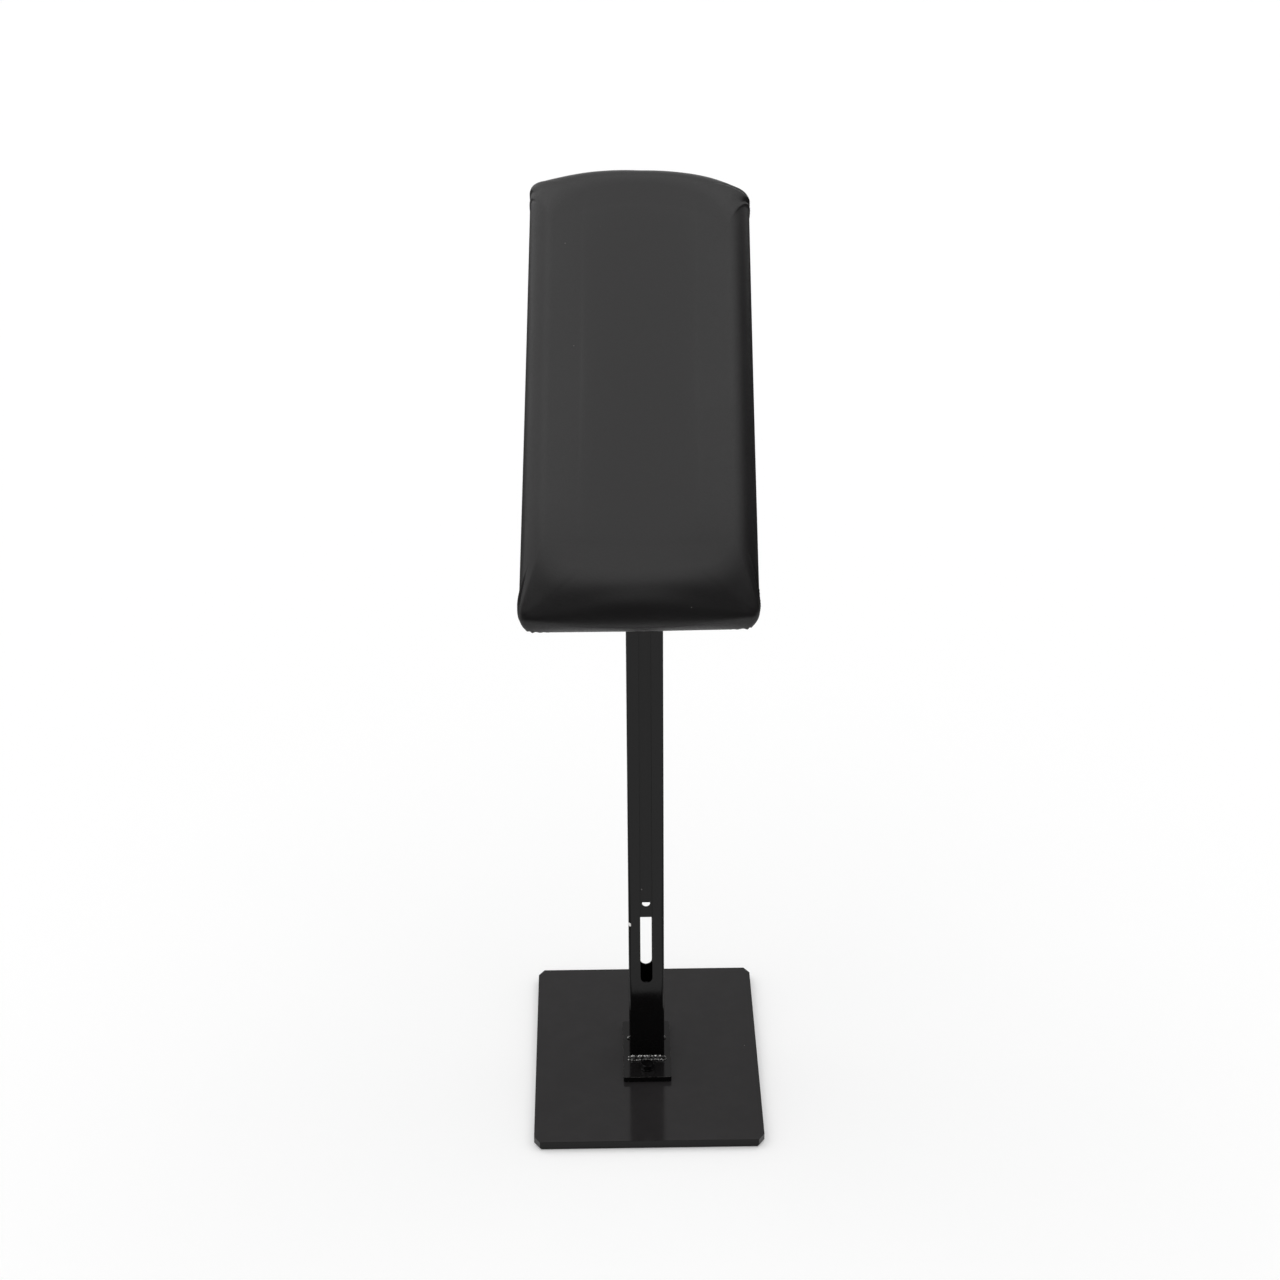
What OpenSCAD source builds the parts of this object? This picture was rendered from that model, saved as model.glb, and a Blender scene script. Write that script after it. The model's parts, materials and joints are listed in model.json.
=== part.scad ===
// Tattoo arm rest stand: a padded rest that tilts on a telescoping square post
// over a plate base. Millimetres, +Z up. X runs across the stand, and the
// height knob is on the +Y side. The origin is on the floor, under the post.

/* [Base] */
// Width of the base plate, across the stand
base_w = 192; // [160:1:240]
// Depth of the base plate, front to back
base_d = 260; // [200:1:320]
// Thickness of the base plate
base_t = 6; // [4:0.5:12]
// How far each corner of the base plate is cut off along the front or back
corner_cut_w = 5; // [2:0.5:12]
// How far each corner of the base plate is cut off along the sides
corner_cut_d = 8; // [2:0.5:16]
// Distance from the post's axis back to the middle of the base plate
base_back = 4; // [0:0.5:20]
// Thickness of the rubber mat under the base plate
mat_t = 2; // [1:0.5:4]
// How far the mat stops short of the plate's edges
mat_inset = 1; // [0.5:0.5:4]

/* [Foot] */
// How far the foot plate runs past the tube, front and back
foot_reach = 27.5; // [25:0.5:45]
// How far the foot plate runs past the tube at the sides
foot_side = 5.5; // [4.5:0.5:20]
// Thickness of the foot plate
foot_t = 5; // [3:0.5:8]
// Radius of the foot plate's corners in plan
foot_corner_r = 2; // [1:0.5:6]
// Distance from a foot bolt to the end of the foot plate
foot_bolt_edge = 13.5; // [8:0.5:14]
// Leg of the weld beads at the front and the back of the tube's foot
weld_leg = 4; // [2.5:0.5:4.5]
// How far those beads run past the tube's sides
weld_over = 2; // [0:0.5:4]

/* [Lower tube] */
// Outside width of the square lower tube
tube_w = 30; // [26:1:40]
// Wall of the lower tube
tube_wall = 1.5; // [1:0.1:2.2]
// Radius of the lower tube's outer corners
tube_corner_r = 2.5; // [2.3:0.1:4]
// Length of the lower tube
tube_l = 492; // [450:1:600]
// Height of the slots' lower end above the foot of the tube
slot_foot = 78; // [40:1:120]
// Solid tube left above the slots
slot_head = 15; // [13:1:30]
// Play on each side of the clamp bolt in the slots
slot_play = 1; // [0.3:0.1:2]

/* [Guide collar] */
// Thickness of the collar's rim on top of the tube
collar_rim_t = 3; // [2:0.5:6]
// Depth of the collar's skirt inside the tube
collar_skirt_l = 12; // [6:1:12]
// Gap between the collar and the inner tube
collar_play = 0.15; // [0.1:0.05:0.3]

/* [Inner tube] */
// Gap between the lower tube's bore and the inner tube
tube_play = 1; // [0.8:0.1:1.5]
// Wall of the inner tube
inner_wall = 1.5; // [1:0.1:1.8]
// Radius of the inner tube's outer corners
inner_corner_r = 2; // [1.9:0.1:3]
// How far the post can still rise from the height it stands at
travel_up = 45; // [5:1:45]
// Distance from the inner tube's lower end to the hole that the clamp bolt is in
clamp_up = 285; // [200:1:320]
// Distance from the inner tube's lower end to the spare hole
spare_up = 13.2; // [8:0.1:60]
// Radius of the spare hole
spare_hole_r = 3.4; // [3:0.1:4.5]
// Distance from the clamp bolt up to the tilt axis
pivot_up = 144; // [140:1:200]
// Length of inner tube above the tilt axis
pivot_head = 14; // [13:0.5:18]
// Thickness of the cap on the inner tube
cap_t = 2; // [1:0.5:3]
// Depth of the cap's plug inside the inner tube
cap_plug_l = 8; // [4:0.5:8]

/* [Fasteners] */
// Radius of the foot bolts and plate screws
small_bolt_r = 3; // [2.5:0.5:3.5]
// Width across the flats of the small hexagon heads
small_head_af = 10; // [8:0.5:11]
// Height of the small hexagon heads
small_head_h = 4; // [3:0.5:5]
// Outer radius of the small washers
small_washer_r = 6; // [5:0.5:7]
// Thickness of the small washers
small_washer_t = 1.2; // [0.8:0.2:2]
// Radius of the clamp bolt and the pivot bolt
big_bolt_r = 4; // [3:0.5:4.5]
// Width across the flats of the clamp bolt's head
big_head_af = 13; // [11:0.5:16]
// Height of the clamp bolt's head
big_head_h = 5.3; // [4:0.1:7]
// Outer radius of the large washers
big_washer_r = 10; // [8:0.5:12]
// Thickness of the large washers
big_washer_t = 1.6; // [1:0.2:2.4]
// Radius of the pivot bolt's domed head
dome_r = 10; // [8:0.5:11]
// Height of the pivot bolt's domed head
dome_h = 4.5; // [3:0.5:6]
// Outer radius of the friction washers beside the inner tube
friction_r = 10; // [8:0.5:12]
// Thickness of the friction washers
friction_t = 1.5; // [1:0.1:2.5]

/* [Knobs] */
// Radius of the star knobs
knob_r = 20; // [17:0.5:24]
// Thickness of a knob's star head
knob_t = 16; // [12:0.5:20]
// Number of lobes on a knob
knob_lobes = 6; // [5:1:8]
// Radius of a lobe
lobe_r = 6; // [4:0.5:7]
// Radius that rounds the edges of a knob's head
knob_edge_r = 3; // [1:0.5:5]
// Radius of a knob's boss
boss_r = 9; // [8:0.5:12]
// Height of a knob's boss
boss_h = 8; // [4:0.5:12]
// Radius of the brass insert
insert_r = 6; // [5.5:0.5:7]
// Length of the brass insert
insert_l = 14; // [10:0.5:15]
// How far a bolt runs into its knob
bolt_reach = 17; // [16:0.5:18]

/* [Bracket] */
// Tilt of the pad, far end up
tilt = 32; // [-60:1:90]
// Thickness of the bracket's sheet steel
ear_t = 3; // [2:0.5:4]
// Radius of the bracket's ears round the pivot
ear_r = 13; // [11:0.5:16]
// Height of the inside of the bracket's web above the tilt axis
web_rise = 30; // [28:0.5:40]
// Length of the bracket's web
web_l = 50; // [40:1:50]
// Outer radius of the bracket's bends
bend_r = 4.5; // [4.5:0.5:6]
// Radius of the weld beads between the bracket and its plate
bracket_bead_r = 3; // [2:0.5:4]
// Length of the plate under the pad
plate_l = 110; // [90:1:160]
// Width of the plate under the pad
plate_w = 80; // [76:1:100]
// Thickness of the plate under the pad
plate_t = 3; // [2:0.5:5]
// Radius of the plate's corners
plate_corner_r = 8; // [4:0.5:12]
// Distance from a plate screw to the plate's edges
screw_edge = 12.5; // [8:0.5:14]
// How far a plate screw runs into the board
screw_reach = 10; // [8:0.5:11]
// Wall of a tee nut's barrel
tee_wall = 1; // [0.6:0.1:1.5]
// Length of a tee nut's barrel under its flange
tee_barrel_l = 9; // [7:0.5:10]
// Radius of a tee nut's flange
tee_flange_r = 9; // [7:0.5:11]
// Thickness of a tee nut's flange
tee_flange_t = 1.2; // [0.8:0.1:2]

/* [Pad] */
// Width of the pad
pad_w = 174; // [150:1:200]
// Length of the pad
pad_l = 402; // [360:1:460]
// Thickness of the pad at its middle
pad_t = 54; // [48:1:70]
// Rise of the pad's crown above its rolled edge
crown = 11; // [4:0.5:14]
// Width of the rolled edge along the sides
roll_w = 18; // [12:1:26]
// Width of the rolled edge at the ends
roll_l = 26; // [16:1:36]
// How far the sides pull in at the underside
under_draw = 4.5; // [2:0.5:8]
// How far the sides pull in between the corners
side_draw = 0.5; // [0:0.5:3]
// How far the ends swell out between the corners
end_swell = 6.5; // [0:0.5:10]
// Radius of the pad's corners in plan
pad_corner_r = 10; // [8:1:24]
// Turn of the pad on its plate, seen from above
pad_turn = -1; // [-1.5:0.1:1.5]
// Shift of the pad across its plate
pad_shift = -3; // [-4:0.5:4]
// Radius of the leather's lower edge
hem_r = 2.5; // [2:0.5:3]
// Thickness of the leather
leather_t = 1.2; // [1:0.1:1.6]
// Distance from the plate to the leather that is turned in under the board
bare_edge = 13.2; // [12.5:0.1:15]
// Thickness of the board
board_t = 12; // [11:1:15]
// Thickness of the dust cover under the board
dust_t = 0.6; // [0.4:0.1:1]
// Gap between the dust cover and the turned-in leather
dust_gap = 0.3; // [0.2:0.1:1]
// Width of a staple
staple_w = 10; // [6:0.5:12]
// Thickness of a staple's wire
staple_wire = 0.7; // [0.5:0.1:1]
// Length of a staple's legs
staple_leg = 6; // [4:0.5:8]
// Distance from one staple to the next
staple_pitch = 36; // [24:1:60]
// Distance from the staples to the edge that they hold
staple_edge = 12; // [8:1:14]

/* [Fits] */
// Radial gap of a shaft that turns in its hole
shaft_gap = 0.05; // [0.02:0.01:0.1]
// Radial gap of a bolt in a plain hole
bolt_gap = 0.25; // [0.15:0.05:0.4]
// Gap between pieces that are pressed, screwed or set into each other
seat_gap = 0.05; // [0.02:0.01:0.1]
// Gap between the foam and the leather
foam_gap = 0.4; // [0.4:0.1:0.8]

/* [Hidden] */
$fn = 64;

// Colours
paint = "#17171a";
zinc = "#b4b7bb";
brass = "#c6a24c";
rubber = "#202022";
plastic = "#1c1c1e";
nylon = "#e6e6e0";
leather = "#403e3f";
foam = "#e9dfc6";
plywood = "#c9a877";
felt = "#2a2a2c";
weld_metal = "#3a3a3d";

// Length by which a cut runs past the face it opens
cut = 1;

// Levels of the base, from the floor up
plate_bottom = mat_t;
plate_top = plate_bottom + base_t;
foot_top = plate_top + foot_t;

// Foot plate
foot_w = tube_w + 2 * foot_side;
foot_d = tube_w + 2 * foot_reach;
foot_bolt_y = foot_d / 2 - foot_bolt_edge;

// Lower tube and its slots
tube_top = foot_top + tube_l;
bore_w = tube_w - 2 * tube_wall;
bore_corner_r = tube_corner_r - tube_wall;
slot_r = big_bolt_r + slot_play;
slot_low_z = foot_top + slot_foot + slot_r;
slot_high_z = tube_top - slot_head - slot_r;

// Inner tube, at the height the stand is shown at
inner_w = bore_w - 2 * tube_play;
inner_bore_w = inner_w - 2 * inner_wall;
inner_bore_r = inner_corner_r - inner_wall;
clamp_z = slot_high_z - travel_up;
inner_bottom = clamp_z - clamp_up;
pivot_z = clamp_z + pivot_up;
inner_top = pivot_z + pivot_head;
spare_z = inner_bottom + spare_up;

// Collar
collar_hole_w = inner_w + 2 * collar_play;
collar_hole_r = inner_corner_r + collar_play;

// Clamp bolt, from the front face of the tube to inside the knob
clamp_face = tube_w / 2 + big_washer_t;
clamp_bolt_l = 2 * clamp_face + bolt_reach;

// Bracket, measured from the tilt axis
ear_in = inner_w / 2 + friction_t;
ear_out = ear_in + ear_t;
tilt_face = ear_out + big_washer_t;
pivot_bolt_l = ear_out + tilt_face + bolt_reach;
web_top = web_rise + ear_t;
plate_high = web_top + plate_t;
screw_x = plate_w / 2 - screw_edge;
screw_s = plate_l / 2 - screw_edge;
dome_sphere_r = (pow(dome_r, 2) + pow(dome_h, 2)) / (2 * dome_h);

// Pad, measured from the tilt axis up to the board, and from there
board_low = plate_high + dust_t;
board_high = board_low + board_t;
cover_low = board_low - leather_t;
board_face_h = leather_t + board_t;
edge_h = pad_t - crown;
widest_share = 0.42;
widest_h = pad_t * widest_share;
board_w = pad_w - 2 * (leather_t + under_draw + seat_gap);
board_l = pad_l - 2 * (leather_t + under_draw + seat_gap);
board_corner_r = pad_corner_r;
turn_in = (board_w - plate_w) / 2 - bare_edge;
opening_w = board_w - 2 * turn_in;
opening_l = board_l - 2 * turn_in;
tee_barrel_r = small_bolt_r + seat_gap + tee_wall;

// Counts of points on the pad's surface
corner_steps = 5;
long_steps = 6;
short_steps = 4;
hem_steps = 2;
roll_steps = 5;
crown_steps = 4;

// Square with rounded corners, about the origin
module rounded_square(w, d, r) {
    square([w - 2 * r, d], center = true);
    square([w, d - 2 * r], center = true);
    for (x = [-1, 1], y = [-1, 1])
        translate([x * (w / 2 - r), y * (d / 2 - r)]) circle(r = r);
}

// Rectangle with cut corners, about the origin
module cut_square(w, d, cut_w, cut_d) {
    hull() {
        square([w - 2 * cut_w, d], center = true);
        square([w, d - 2 * cut_d], center = true);
    }
}

// Places along an axis: the piece's own +Z turns to +Y, or to +X
module along_y() {
    rotate([-90, 0, 0]) children();
}

module along_x() {
    rotate([0, 90, 0]) children();
}

// Frame of the pad: origin on the tilt axis, +Z square to the pad's board
module at_pivot() {
    translate([0, 0, pivot_z]) rotate([tilt, 0, 0]) children();
}

// Bolt with a hexagon head below z = 0 and its shank above
module hex_bolt(r, af, head_h, l) {
    corner = af / 2 / cos(30);
    chamfer = corner - af / 2;
    cylinder(r = r, h = l);
    translate([0, 0, -head_h]) intersection() {
        cylinder(r = corner, h = head_h, $fn = 6);
        cylinder(r1 = corner - chamfer, r2 = corner - chamfer + head_h, h = head_h);
    }
}

module washer(r, hole_r, t) {
    difference() {
        cylinder(r = r, h = t);
        translate([0, 0, -cut]) cylinder(r = hole_r, h = t + 2 * cut);
    }
}

// Square tube standing on z = 0
module square_tube(w, r, hole_w, hole_r, l) {
    difference() {
        linear_extrude(l) rounded_square(w, w, r);
        translate([0, 0, -cut]) linear_extrude(l + 2 * cut) rounded_square(hole_w, hole_w, hole_r);
    }
}

// Frame of the pad's cushion, which sits a little askew on its plate
module at_cushion() {
    at_pivot() translate([pad_shift, 0, 0]) rotate(pad_turn) children();
}

// The two foot bolts' places
module at_foot_bolts() {
    for (y = [-foot_bolt_y, foot_bolt_y]) translate([0, y, 0]) children();
}

// The four plate screws' places, in the pad's frame
module at_plate_screws() {
    for (x = [-screw_x, screw_x], s = [-screw_s, screw_s]) translate([x, s, 0]) children();
}

// Base: rubber mat, plate, and the foot that the tube is welded to
module base_mat() {
    color(rubber) translate([0, base_back, 0]) linear_extrude(mat_t)
        cut_square(base_w - 2 * mat_inset, base_d - 2 * mat_inset, corner_cut_w, corner_cut_d);
}

module base_plate() {
    color(paint) difference() {
        translate([0, base_back, plate_bottom]) linear_extrude(base_t)
            cut_square(base_w, base_d, corner_cut_w, corner_cut_d);
        at_foot_bolts() translate([0, 0, plate_bottom - cut])
            cylinder(r = small_bolt_r + seat_gap, h = base_t + 2 * cut);
    }
}

module foot_plate() {
    color(paint) difference() {
        translate([0, 0, plate_top]) linear_extrude(foot_t) rounded_square(foot_w, foot_d, foot_corner_r);
        at_foot_bolts() translate([0, 0, plate_top - cut])
            cylinder(r = small_bolt_r + bolt_gap, h = foot_t + 2 * cut);
    }
}

// A quarter of a round bead, in the corner between a wall and a floor
module bead_section(r) {
    intersection() {
        circle(r = r);
        square(r);
    }
}

// Two beads, along the front and the back of the tube, with rounded ends
module foot_weld() {
    straight = tube_w + 2 * weld_over - 2 * weld_leg;
    color(weld_metal) translate([0, 0, foot_top]) for (turn = [90, 270]) rotate(turn) {
        translate([tube_w / 2, straight / 2, 0]) rotate([90, 0, 0])
            linear_extrude(straight) bead_section(weld_leg);
        for (end = [0, 1]) translate([tube_w / 2, straight * (0.5 - end), 0]) rotate(-90 * end)
            rotate_extrude(angle = 90) bead_section(weld_leg);
    }
}

module foot_bolts() {
    color(zinc) at_foot_bolts() translate([0, 0, foot_top + small_washer_t]) rotate([180, 0, 0])
        hex_bolt(small_bolt_r, small_head_af, small_head_h, small_washer_t + foot_t + base_t);
}

module foot_washers() {
    color(zinc) at_foot_bolts() translate([0, 0, foot_top])
        washer(small_washer_r, small_bolt_r + bolt_gap, small_washer_t);
}

// Post: the slotted lower tube and the inner tube that slides in it
module lower_tube() {
    color(paint) difference() {
        translate([0, 0, foot_top]) square_tube(tube_w, tube_corner_r, bore_w, bore_corner_r, tube_l);
        translate([0, -tube_w / 2 - cut, 0]) along_y() linear_extrude(tube_w + 2 * cut) slot_outline();
    }
}

// Outline of the slots, drawn for a cut along +Y, where the sheet's Y points down
module slot_outline() {
    for (z = [slot_low_z, slot_high_z]) translate([0, -z]) circle(r = slot_r);
    translate([-slot_r, -slot_high_z]) square([2 * slot_r, slot_high_z - slot_low_z]);
}

module guide_collar() {
    color(plastic) difference() {
        union() {
            translate([0, 0, tube_top]) linear_extrude(collar_rim_t)
                rounded_square(tube_w, tube_w, tube_corner_r);
            translate([0, 0, tube_top - collar_skirt_l]) linear_extrude(collar_skirt_l)
                rounded_square(bore_w - 2 * seat_gap, bore_w - 2 * seat_gap, bore_corner_r);
        }
        translate([0, 0, tube_top - collar_skirt_l - cut])
            linear_extrude(collar_skirt_l + collar_rim_t + 2 * cut)
            rounded_square(collar_hole_w, collar_hole_w, collar_hole_r);
    }
}

module inner_tube() {
    color(paint) difference() {
        translate([0, 0, inner_bottom])
            square_tube(inner_w, inner_corner_r, inner_bore_w, inner_bore_r, inner_top - inner_bottom);
        for (hole = [[spare_z, spare_hole_r], [clamp_z, big_bolt_r + bolt_gap]])
            translate([0, -inner_w / 2 - cut, hole[0]]) along_y()
            cylinder(r = hole[1], h = inner_w + 2 * cut);
        translate([-inner_w / 2 - cut, 0, pivot_z]) along_x()
            cylinder(r = big_bolt_r + shaft_gap, h = inner_w + 2 * cut);
    }
}

module tube_cap() {
    plug_w = inner_bore_w - 2 * seat_gap;
    color(plastic) {
        translate([0, 0, inner_top]) linear_extrude(cap_t) rounded_square(inner_w, inner_w, inner_corner_r);
        translate([0, 0, inner_top - cap_plug_l]) linear_extrude(cap_plug_l)
            rounded_square(plug_w, plug_w, inner_bore_r);
    }
}

// Height clamp: a bolt through both slots, drawn up by the knob at the back
module clamp_bolt() {
    color(zinc) translate([0, -clamp_face, clamp_z]) along_y()
        hex_bolt(big_bolt_r, big_head_af, big_head_h, clamp_bolt_l);
}

module clamp_washers() {
    color(zinc) for (y = [-clamp_face, tube_w / 2]) translate([0, y, clamp_z]) along_y()
        washer(big_washer_r, big_bolt_r + bolt_gap, big_washer_t);
}

// Outline of a knob's head: a round core with lobes
module star_outline() {
    lobe_at = knob_r - lobe_r;
    circle(r = lobe_at);
    for (i = [0:knob_lobes - 1]) rotate(i * 360 / knob_lobes) translate([lobe_at, 0]) circle(r = lobe_r);
}

// Knob that presses on z = 0 and stands up from there
module knob() {
    difference() {
        union() {
            cylinder(r = boss_r, h = boss_h + knob_edge_r);
            translate([0, 0, boss_h]) intersection() {
                linear_extrude(knob_t) star_outline();
                rotate_extrude() intersection() {
                    translate([0, knob_t / 2]) rounded_square(2 * knob_r, knob_t, knob_edge_r);
                    square([knob_r, knob_t]);
                }
            }
        }
        translate([0, 0, -cut]) cylinder(r = insert_r + seat_gap, h = insert_l + cut);
        cylinder(r = big_bolt_r + bolt_gap, h = bolt_reach + bolt_gap);
    }
}

module knob_insert() {
    washer(insert_r, big_bolt_r + shaft_gap, insert_l);
}

module at_height_knob() {
    translate([0, clamp_face, clamp_z]) along_y() children();
}

module height_knob() {
    color(plastic) at_height_knob() knob();
}

module height_knob_insert() {
    color(brass) at_height_knob() knob_insert();
}

// Tilt clamp: a carriage bolt through the bracket's ears and the inner tube
module pivot_bolt() {
    neck = 2 * big_bolt_r;
    color(zinc) at_pivot() translate([-ear_out, 0, 0]) along_x() {
        intersection() {
            translate([0, 0, dome_sphere_r - dome_h]) sphere(r = dome_sphere_r);
            translate([0, 0, -dome_h]) cylinder(r = dome_r, h = dome_h);
        }
        translate([-neck / 2, -neck / 2, 0]) cube([neck, neck, ear_t]);
        cylinder(r = big_bolt_r, h = pivot_bolt_l);
    }
}

module friction_washers() {
    color(nylon) at_pivot() for (x = [-ear_in, inner_w / 2]) translate([x, 0, 0]) along_x()
        washer(friction_r, big_bolt_r + bolt_gap, friction_t);
}

module tilt_washer() {
    color(zinc) at_pivot() translate([ear_out, 0, 0]) along_x()
        washer(big_washer_r, big_bolt_r + bolt_gap, big_washer_t);
}

module at_tilt_knob() {
    at_pivot() translate([tilt_face, 0, 0]) along_x() children();
}

module tilt_knob() {
    color(plastic) at_tilt_knob() knob();
}

module tilt_knob_insert() {
    color(brass) at_tilt_knob() knob_insert();
}

// Folded channel of the bracket: two ears and a web, with no holes yet
module bracket_channel() {
    intersection() {
        translate([0, web_l / 2, 0]) rotate([90, 0, 0]) linear_extrude(web_l) difference() {
            translate([0, (web_top - ear_r) / 2]) rounded_square(2 * ear_out, web_top + ear_r, bend_r);
            translate([-ear_in, -ear_r - cut]) square([2 * ear_in, ear_r + cut + web_rise - bend_r + ear_t]);
            translate([0, web_rise / 2]) rounded_square(2 * ear_in, web_rise, bend_r - ear_t);
        }
        translate([-ear_out, 0, 0]) rotate([90, 0, 90]) linear_extrude(2 * ear_out) {
            circle(r = ear_r);
            polygon([[-ear_r, 0], [ear_r, 0], [web_l / 2, web_rise], [web_l / 2, web_top],
                [-web_l / 2, web_top], [-web_l / 2, web_rise]]);
        }
    }
}

module pad_bracket() {
    hole_r = big_bolt_r + bolt_gap;
    color(paint) at_pivot() difference() {
        bracket_channel();
        along_x() cylinder(r = hole_r, h = ear_out + cut);
        translate([-ear_out - cut, -hole_r, -hole_r]) cube([ear_t + 2 * cut, 2 * hole_r, 2 * hole_r]);
    }
}

module bracket_weld() {
    color(weld_metal) at_pivot() for (x = [-ear_out, ear_out]) difference() {
        translate([x, web_l / 2, web_top]) rotate([90, 0, 0]) cylinder(r = bracket_bead_r, h = web_l);
        translate([-plate_w / 2, -plate_l / 2, web_top]) cube([plate_w, plate_l, plate_t + bracket_bead_r]);
        bracket_channel();
    }
}

module bracket_plate() {
    color(paint) at_pivot() difference() {
        translate([0, 0, web_top]) linear_extrude(plate_t) rounded_square(plate_w, plate_l, plate_corner_r);
        at_plate_screws() translate([0, 0, web_top - cut])
            cylinder(r = small_bolt_r + bolt_gap, h = plate_t + 2 * cut);
    }
}

module plate_screws() {
    color(zinc) at_pivot() at_plate_screws() translate([0, 0, web_top - small_washer_t])
        hex_bolt(small_bolt_r, small_head_af, small_head_h,
            small_washer_t + plate_t + dust_t + screw_reach);
}

module plate_washers() {
    color(zinc) at_pivot() at_plate_screws() translate([0, 0, web_top - small_washer_t])
        washer(small_washer_r, small_bolt_r + bolt_gap, small_washer_t);
}

module tee_nuts() {
    color(zinc) at_pivot() at_plate_screws() difference() {
        union() {
            translate([0, 0, board_high - tee_flange_t]) cylinder(r = tee_flange_r, h = tee_flange_t);
            translate([0, 0, board_high - tee_flange_t - tee_barrel_l])
                cylinder(r = tee_barrel_r, h = tee_barrel_l + tee_flange_t);
        }
        translate([0, 0, board_low]) cylinder(r = small_bolt_r + seat_gap, h = board_t + cut);
    }
}

// Pad: board, foam, leather and what holds them together
module pad_board() {
    color(plywood) difference() {
        at_cushion() translate([0, 0, board_low]) linear_extrude(board_t)
            rounded_square(board_w, board_l, board_corner_r);
        at_pivot() at_plate_screws() {
            translate([0, 0, board_low - cut])
                cylinder(r = tee_barrel_r + seat_gap, h = board_t + 2 * cut);
            translate([0, 0, board_high - tee_flange_t])
                cylinder(r = tee_flange_r + seat_gap, h = tee_flange_t + cut);
        }
    }
}

// Share of a side's draw at a place along it, from -1 at one corner to 1 at the other
function bow(place) = 1 - place * place;

function corner_points(x, y, r, start) = [
    for (i = [0:corner_steps]) let (a = start + 90 * i / corner_steps) [x + r * cos(a), y + r * sin(a)]
];

// Points along one side between its corners, for the side that faces +X
function side_points(reach, half, draw, steps) = [
    for (i = [1:steps - 1]) let (place = 2 * i / steps - 1) [reach - draw * bow(place), place * half]
];

// Plan outline of the pad, anticlockwise. Between the corners its sides pull in by
// this share of their draw, and its ends swell out by the same share.
function pad_outline(hw, hl, r, share) = let (
    cx = hw - r,
    cy = hl - r,
    long = side_points(hw, cy, side_draw * share, long_steps),
    short = side_points(hl, cx, -end_swell * share, short_steps)
) concat(
    long,
    corner_points(cx, cy, r, 0),
    [for (p = short) [-p.y, p.x]],
    corner_points(-cx, cy, r, 90),
    [for (p = long) [-p.x, -p.y]],
    corner_points(-cx, -cy, r, 180),
    [for (p = short) [p.y, -p.x]],
    corner_points(cx, -cy, r, 270)
);

// Steps of the side through these heights and up to the crown: inset of the sides,
// inset of the ends, height, share of the crown, share of the bow, and scale of the
// outline. skin is the distance inside the pad's outer face.
function side_steps(heights, skin) = concat(
    [for (h = heights) let (
        up = (h - skin) / (widest_h - skin),
        inset = under_draw * pow(1 - up, 2)
    ) [inset, inset, h, 0, up, 1]],
    [for (i = [1:roll_steps]) let (a = 90 * i / roll_steps, inset_share = 1 - cos(a)) [
        roll_w * inset_share,
        roll_l * inset_share,
        widest_h + (edge_h - skin - widest_h) * sin(a),
        sin(a),
        1,
        1
    ]],
    [for (i = [1:crown_steps - 1]) [roll_w, roll_l, edge_h - skin, 1, 1, 1 - i / crown_steps]]
);

function pad_ring(step, skin) = [
    for (p = pad_outline(pad_w / 2 - skin - step[0], pad_l / 2 - skin - step[1],
        pad_corner_r - skin, step[4]))
        let (x = p.x * step[5], s = p.y * step[5])
            [x, s, step[2] + crown * step[3] * (1 - pow(2 * x / pad_w, 2))]
];

// Level ring at an inset from the board's edge, for the leather that is turned in
function level_ring(inset, h) = [
    for (p = pad_outline(board_w / 2 - inset, board_l / 2 - inset, board_corner_r, 0)) [p.x, p.y, h]
];

// Closed skin over rings that all have as many points, with a pole at each end.
// The first rings fall and the others rise. Every band is cut from a point of its
// higher ring down to the next point, so skins over the same steps never cross.
module ring_solid(rings, first, last, falling = 0) {
    m = len(rings[0]);
    top = len(rings) - 1;
    polyhedron(
        points = concat([first], [for (ring = rings) each ring], [last]),
        faces = concat(
            [for (j = [0:m - 1]) [0, 1 + j, 1 + (j + 1) % m]],
            [for (k = [0:top - 1], j = [0:m - 1], half = [0, 1]) let (
                a = 1 + k * m,
                b = a + m,
                next = (j + 1) % m,
                quad = k < falling
                    ? [b + next, a + next, a + j, b + j]
                    : [a + next, a + j, b + j, b + next]
            ) [quad[0], quad[1 + half], quad[2 + half]]],
            [for (j = [0:m - 1]) [1 + (top + 1) * m, 1 + top * m + (j + 1) % m, 1 + top * m + j]]
        )
    );
}

module pad_foam() {
    skin = leather_t + foam_gap;
    rings = [for (step = side_steps([board_face_h, widest_h], skin)) pad_ring(step, skin)];
    color(foam) at_cushion() translate([0, 0, cover_low])
        ring_solid(rings, [0, 0, board_face_h], [0, 0, edge_h - skin + crown]);
}

module pad_cover() {
    inside = [for (step = side_steps([leather_t, board_face_h, widest_h], leather_t))
        pad_ring(step, leather_t)];
    // The hem comes before the side, which starts at the hem's own height
    side = side_steps([hem_r, board_face_h, widest_h], 0);
    hem = [for (i = [0:hem_steps - 1]) let (
        a = 90 * i / hem_steps,
        inset = side[0][0] + hem_r * (1 - sin(a))
    ) [inset, inset, hem_r * (1 - cos(a)), 0, 0, 1]];
    outside = [for (step = concat(hem, side)) pad_ring(step, 0)];
    rings = concat(
        [for (k = [len(inside) - 1:-1:0]) inside[k]],
        [level_ring(turn_in, leather_t), level_ring(turn_in, 0)],
        outside
    );
    color(leather) at_cushion() translate([0, 0, cover_low])
        ring_solid(rings, [0, 0, edge_h - leather_t + crown], [0, 0, edge_h + crown], len(inside));
}

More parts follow.
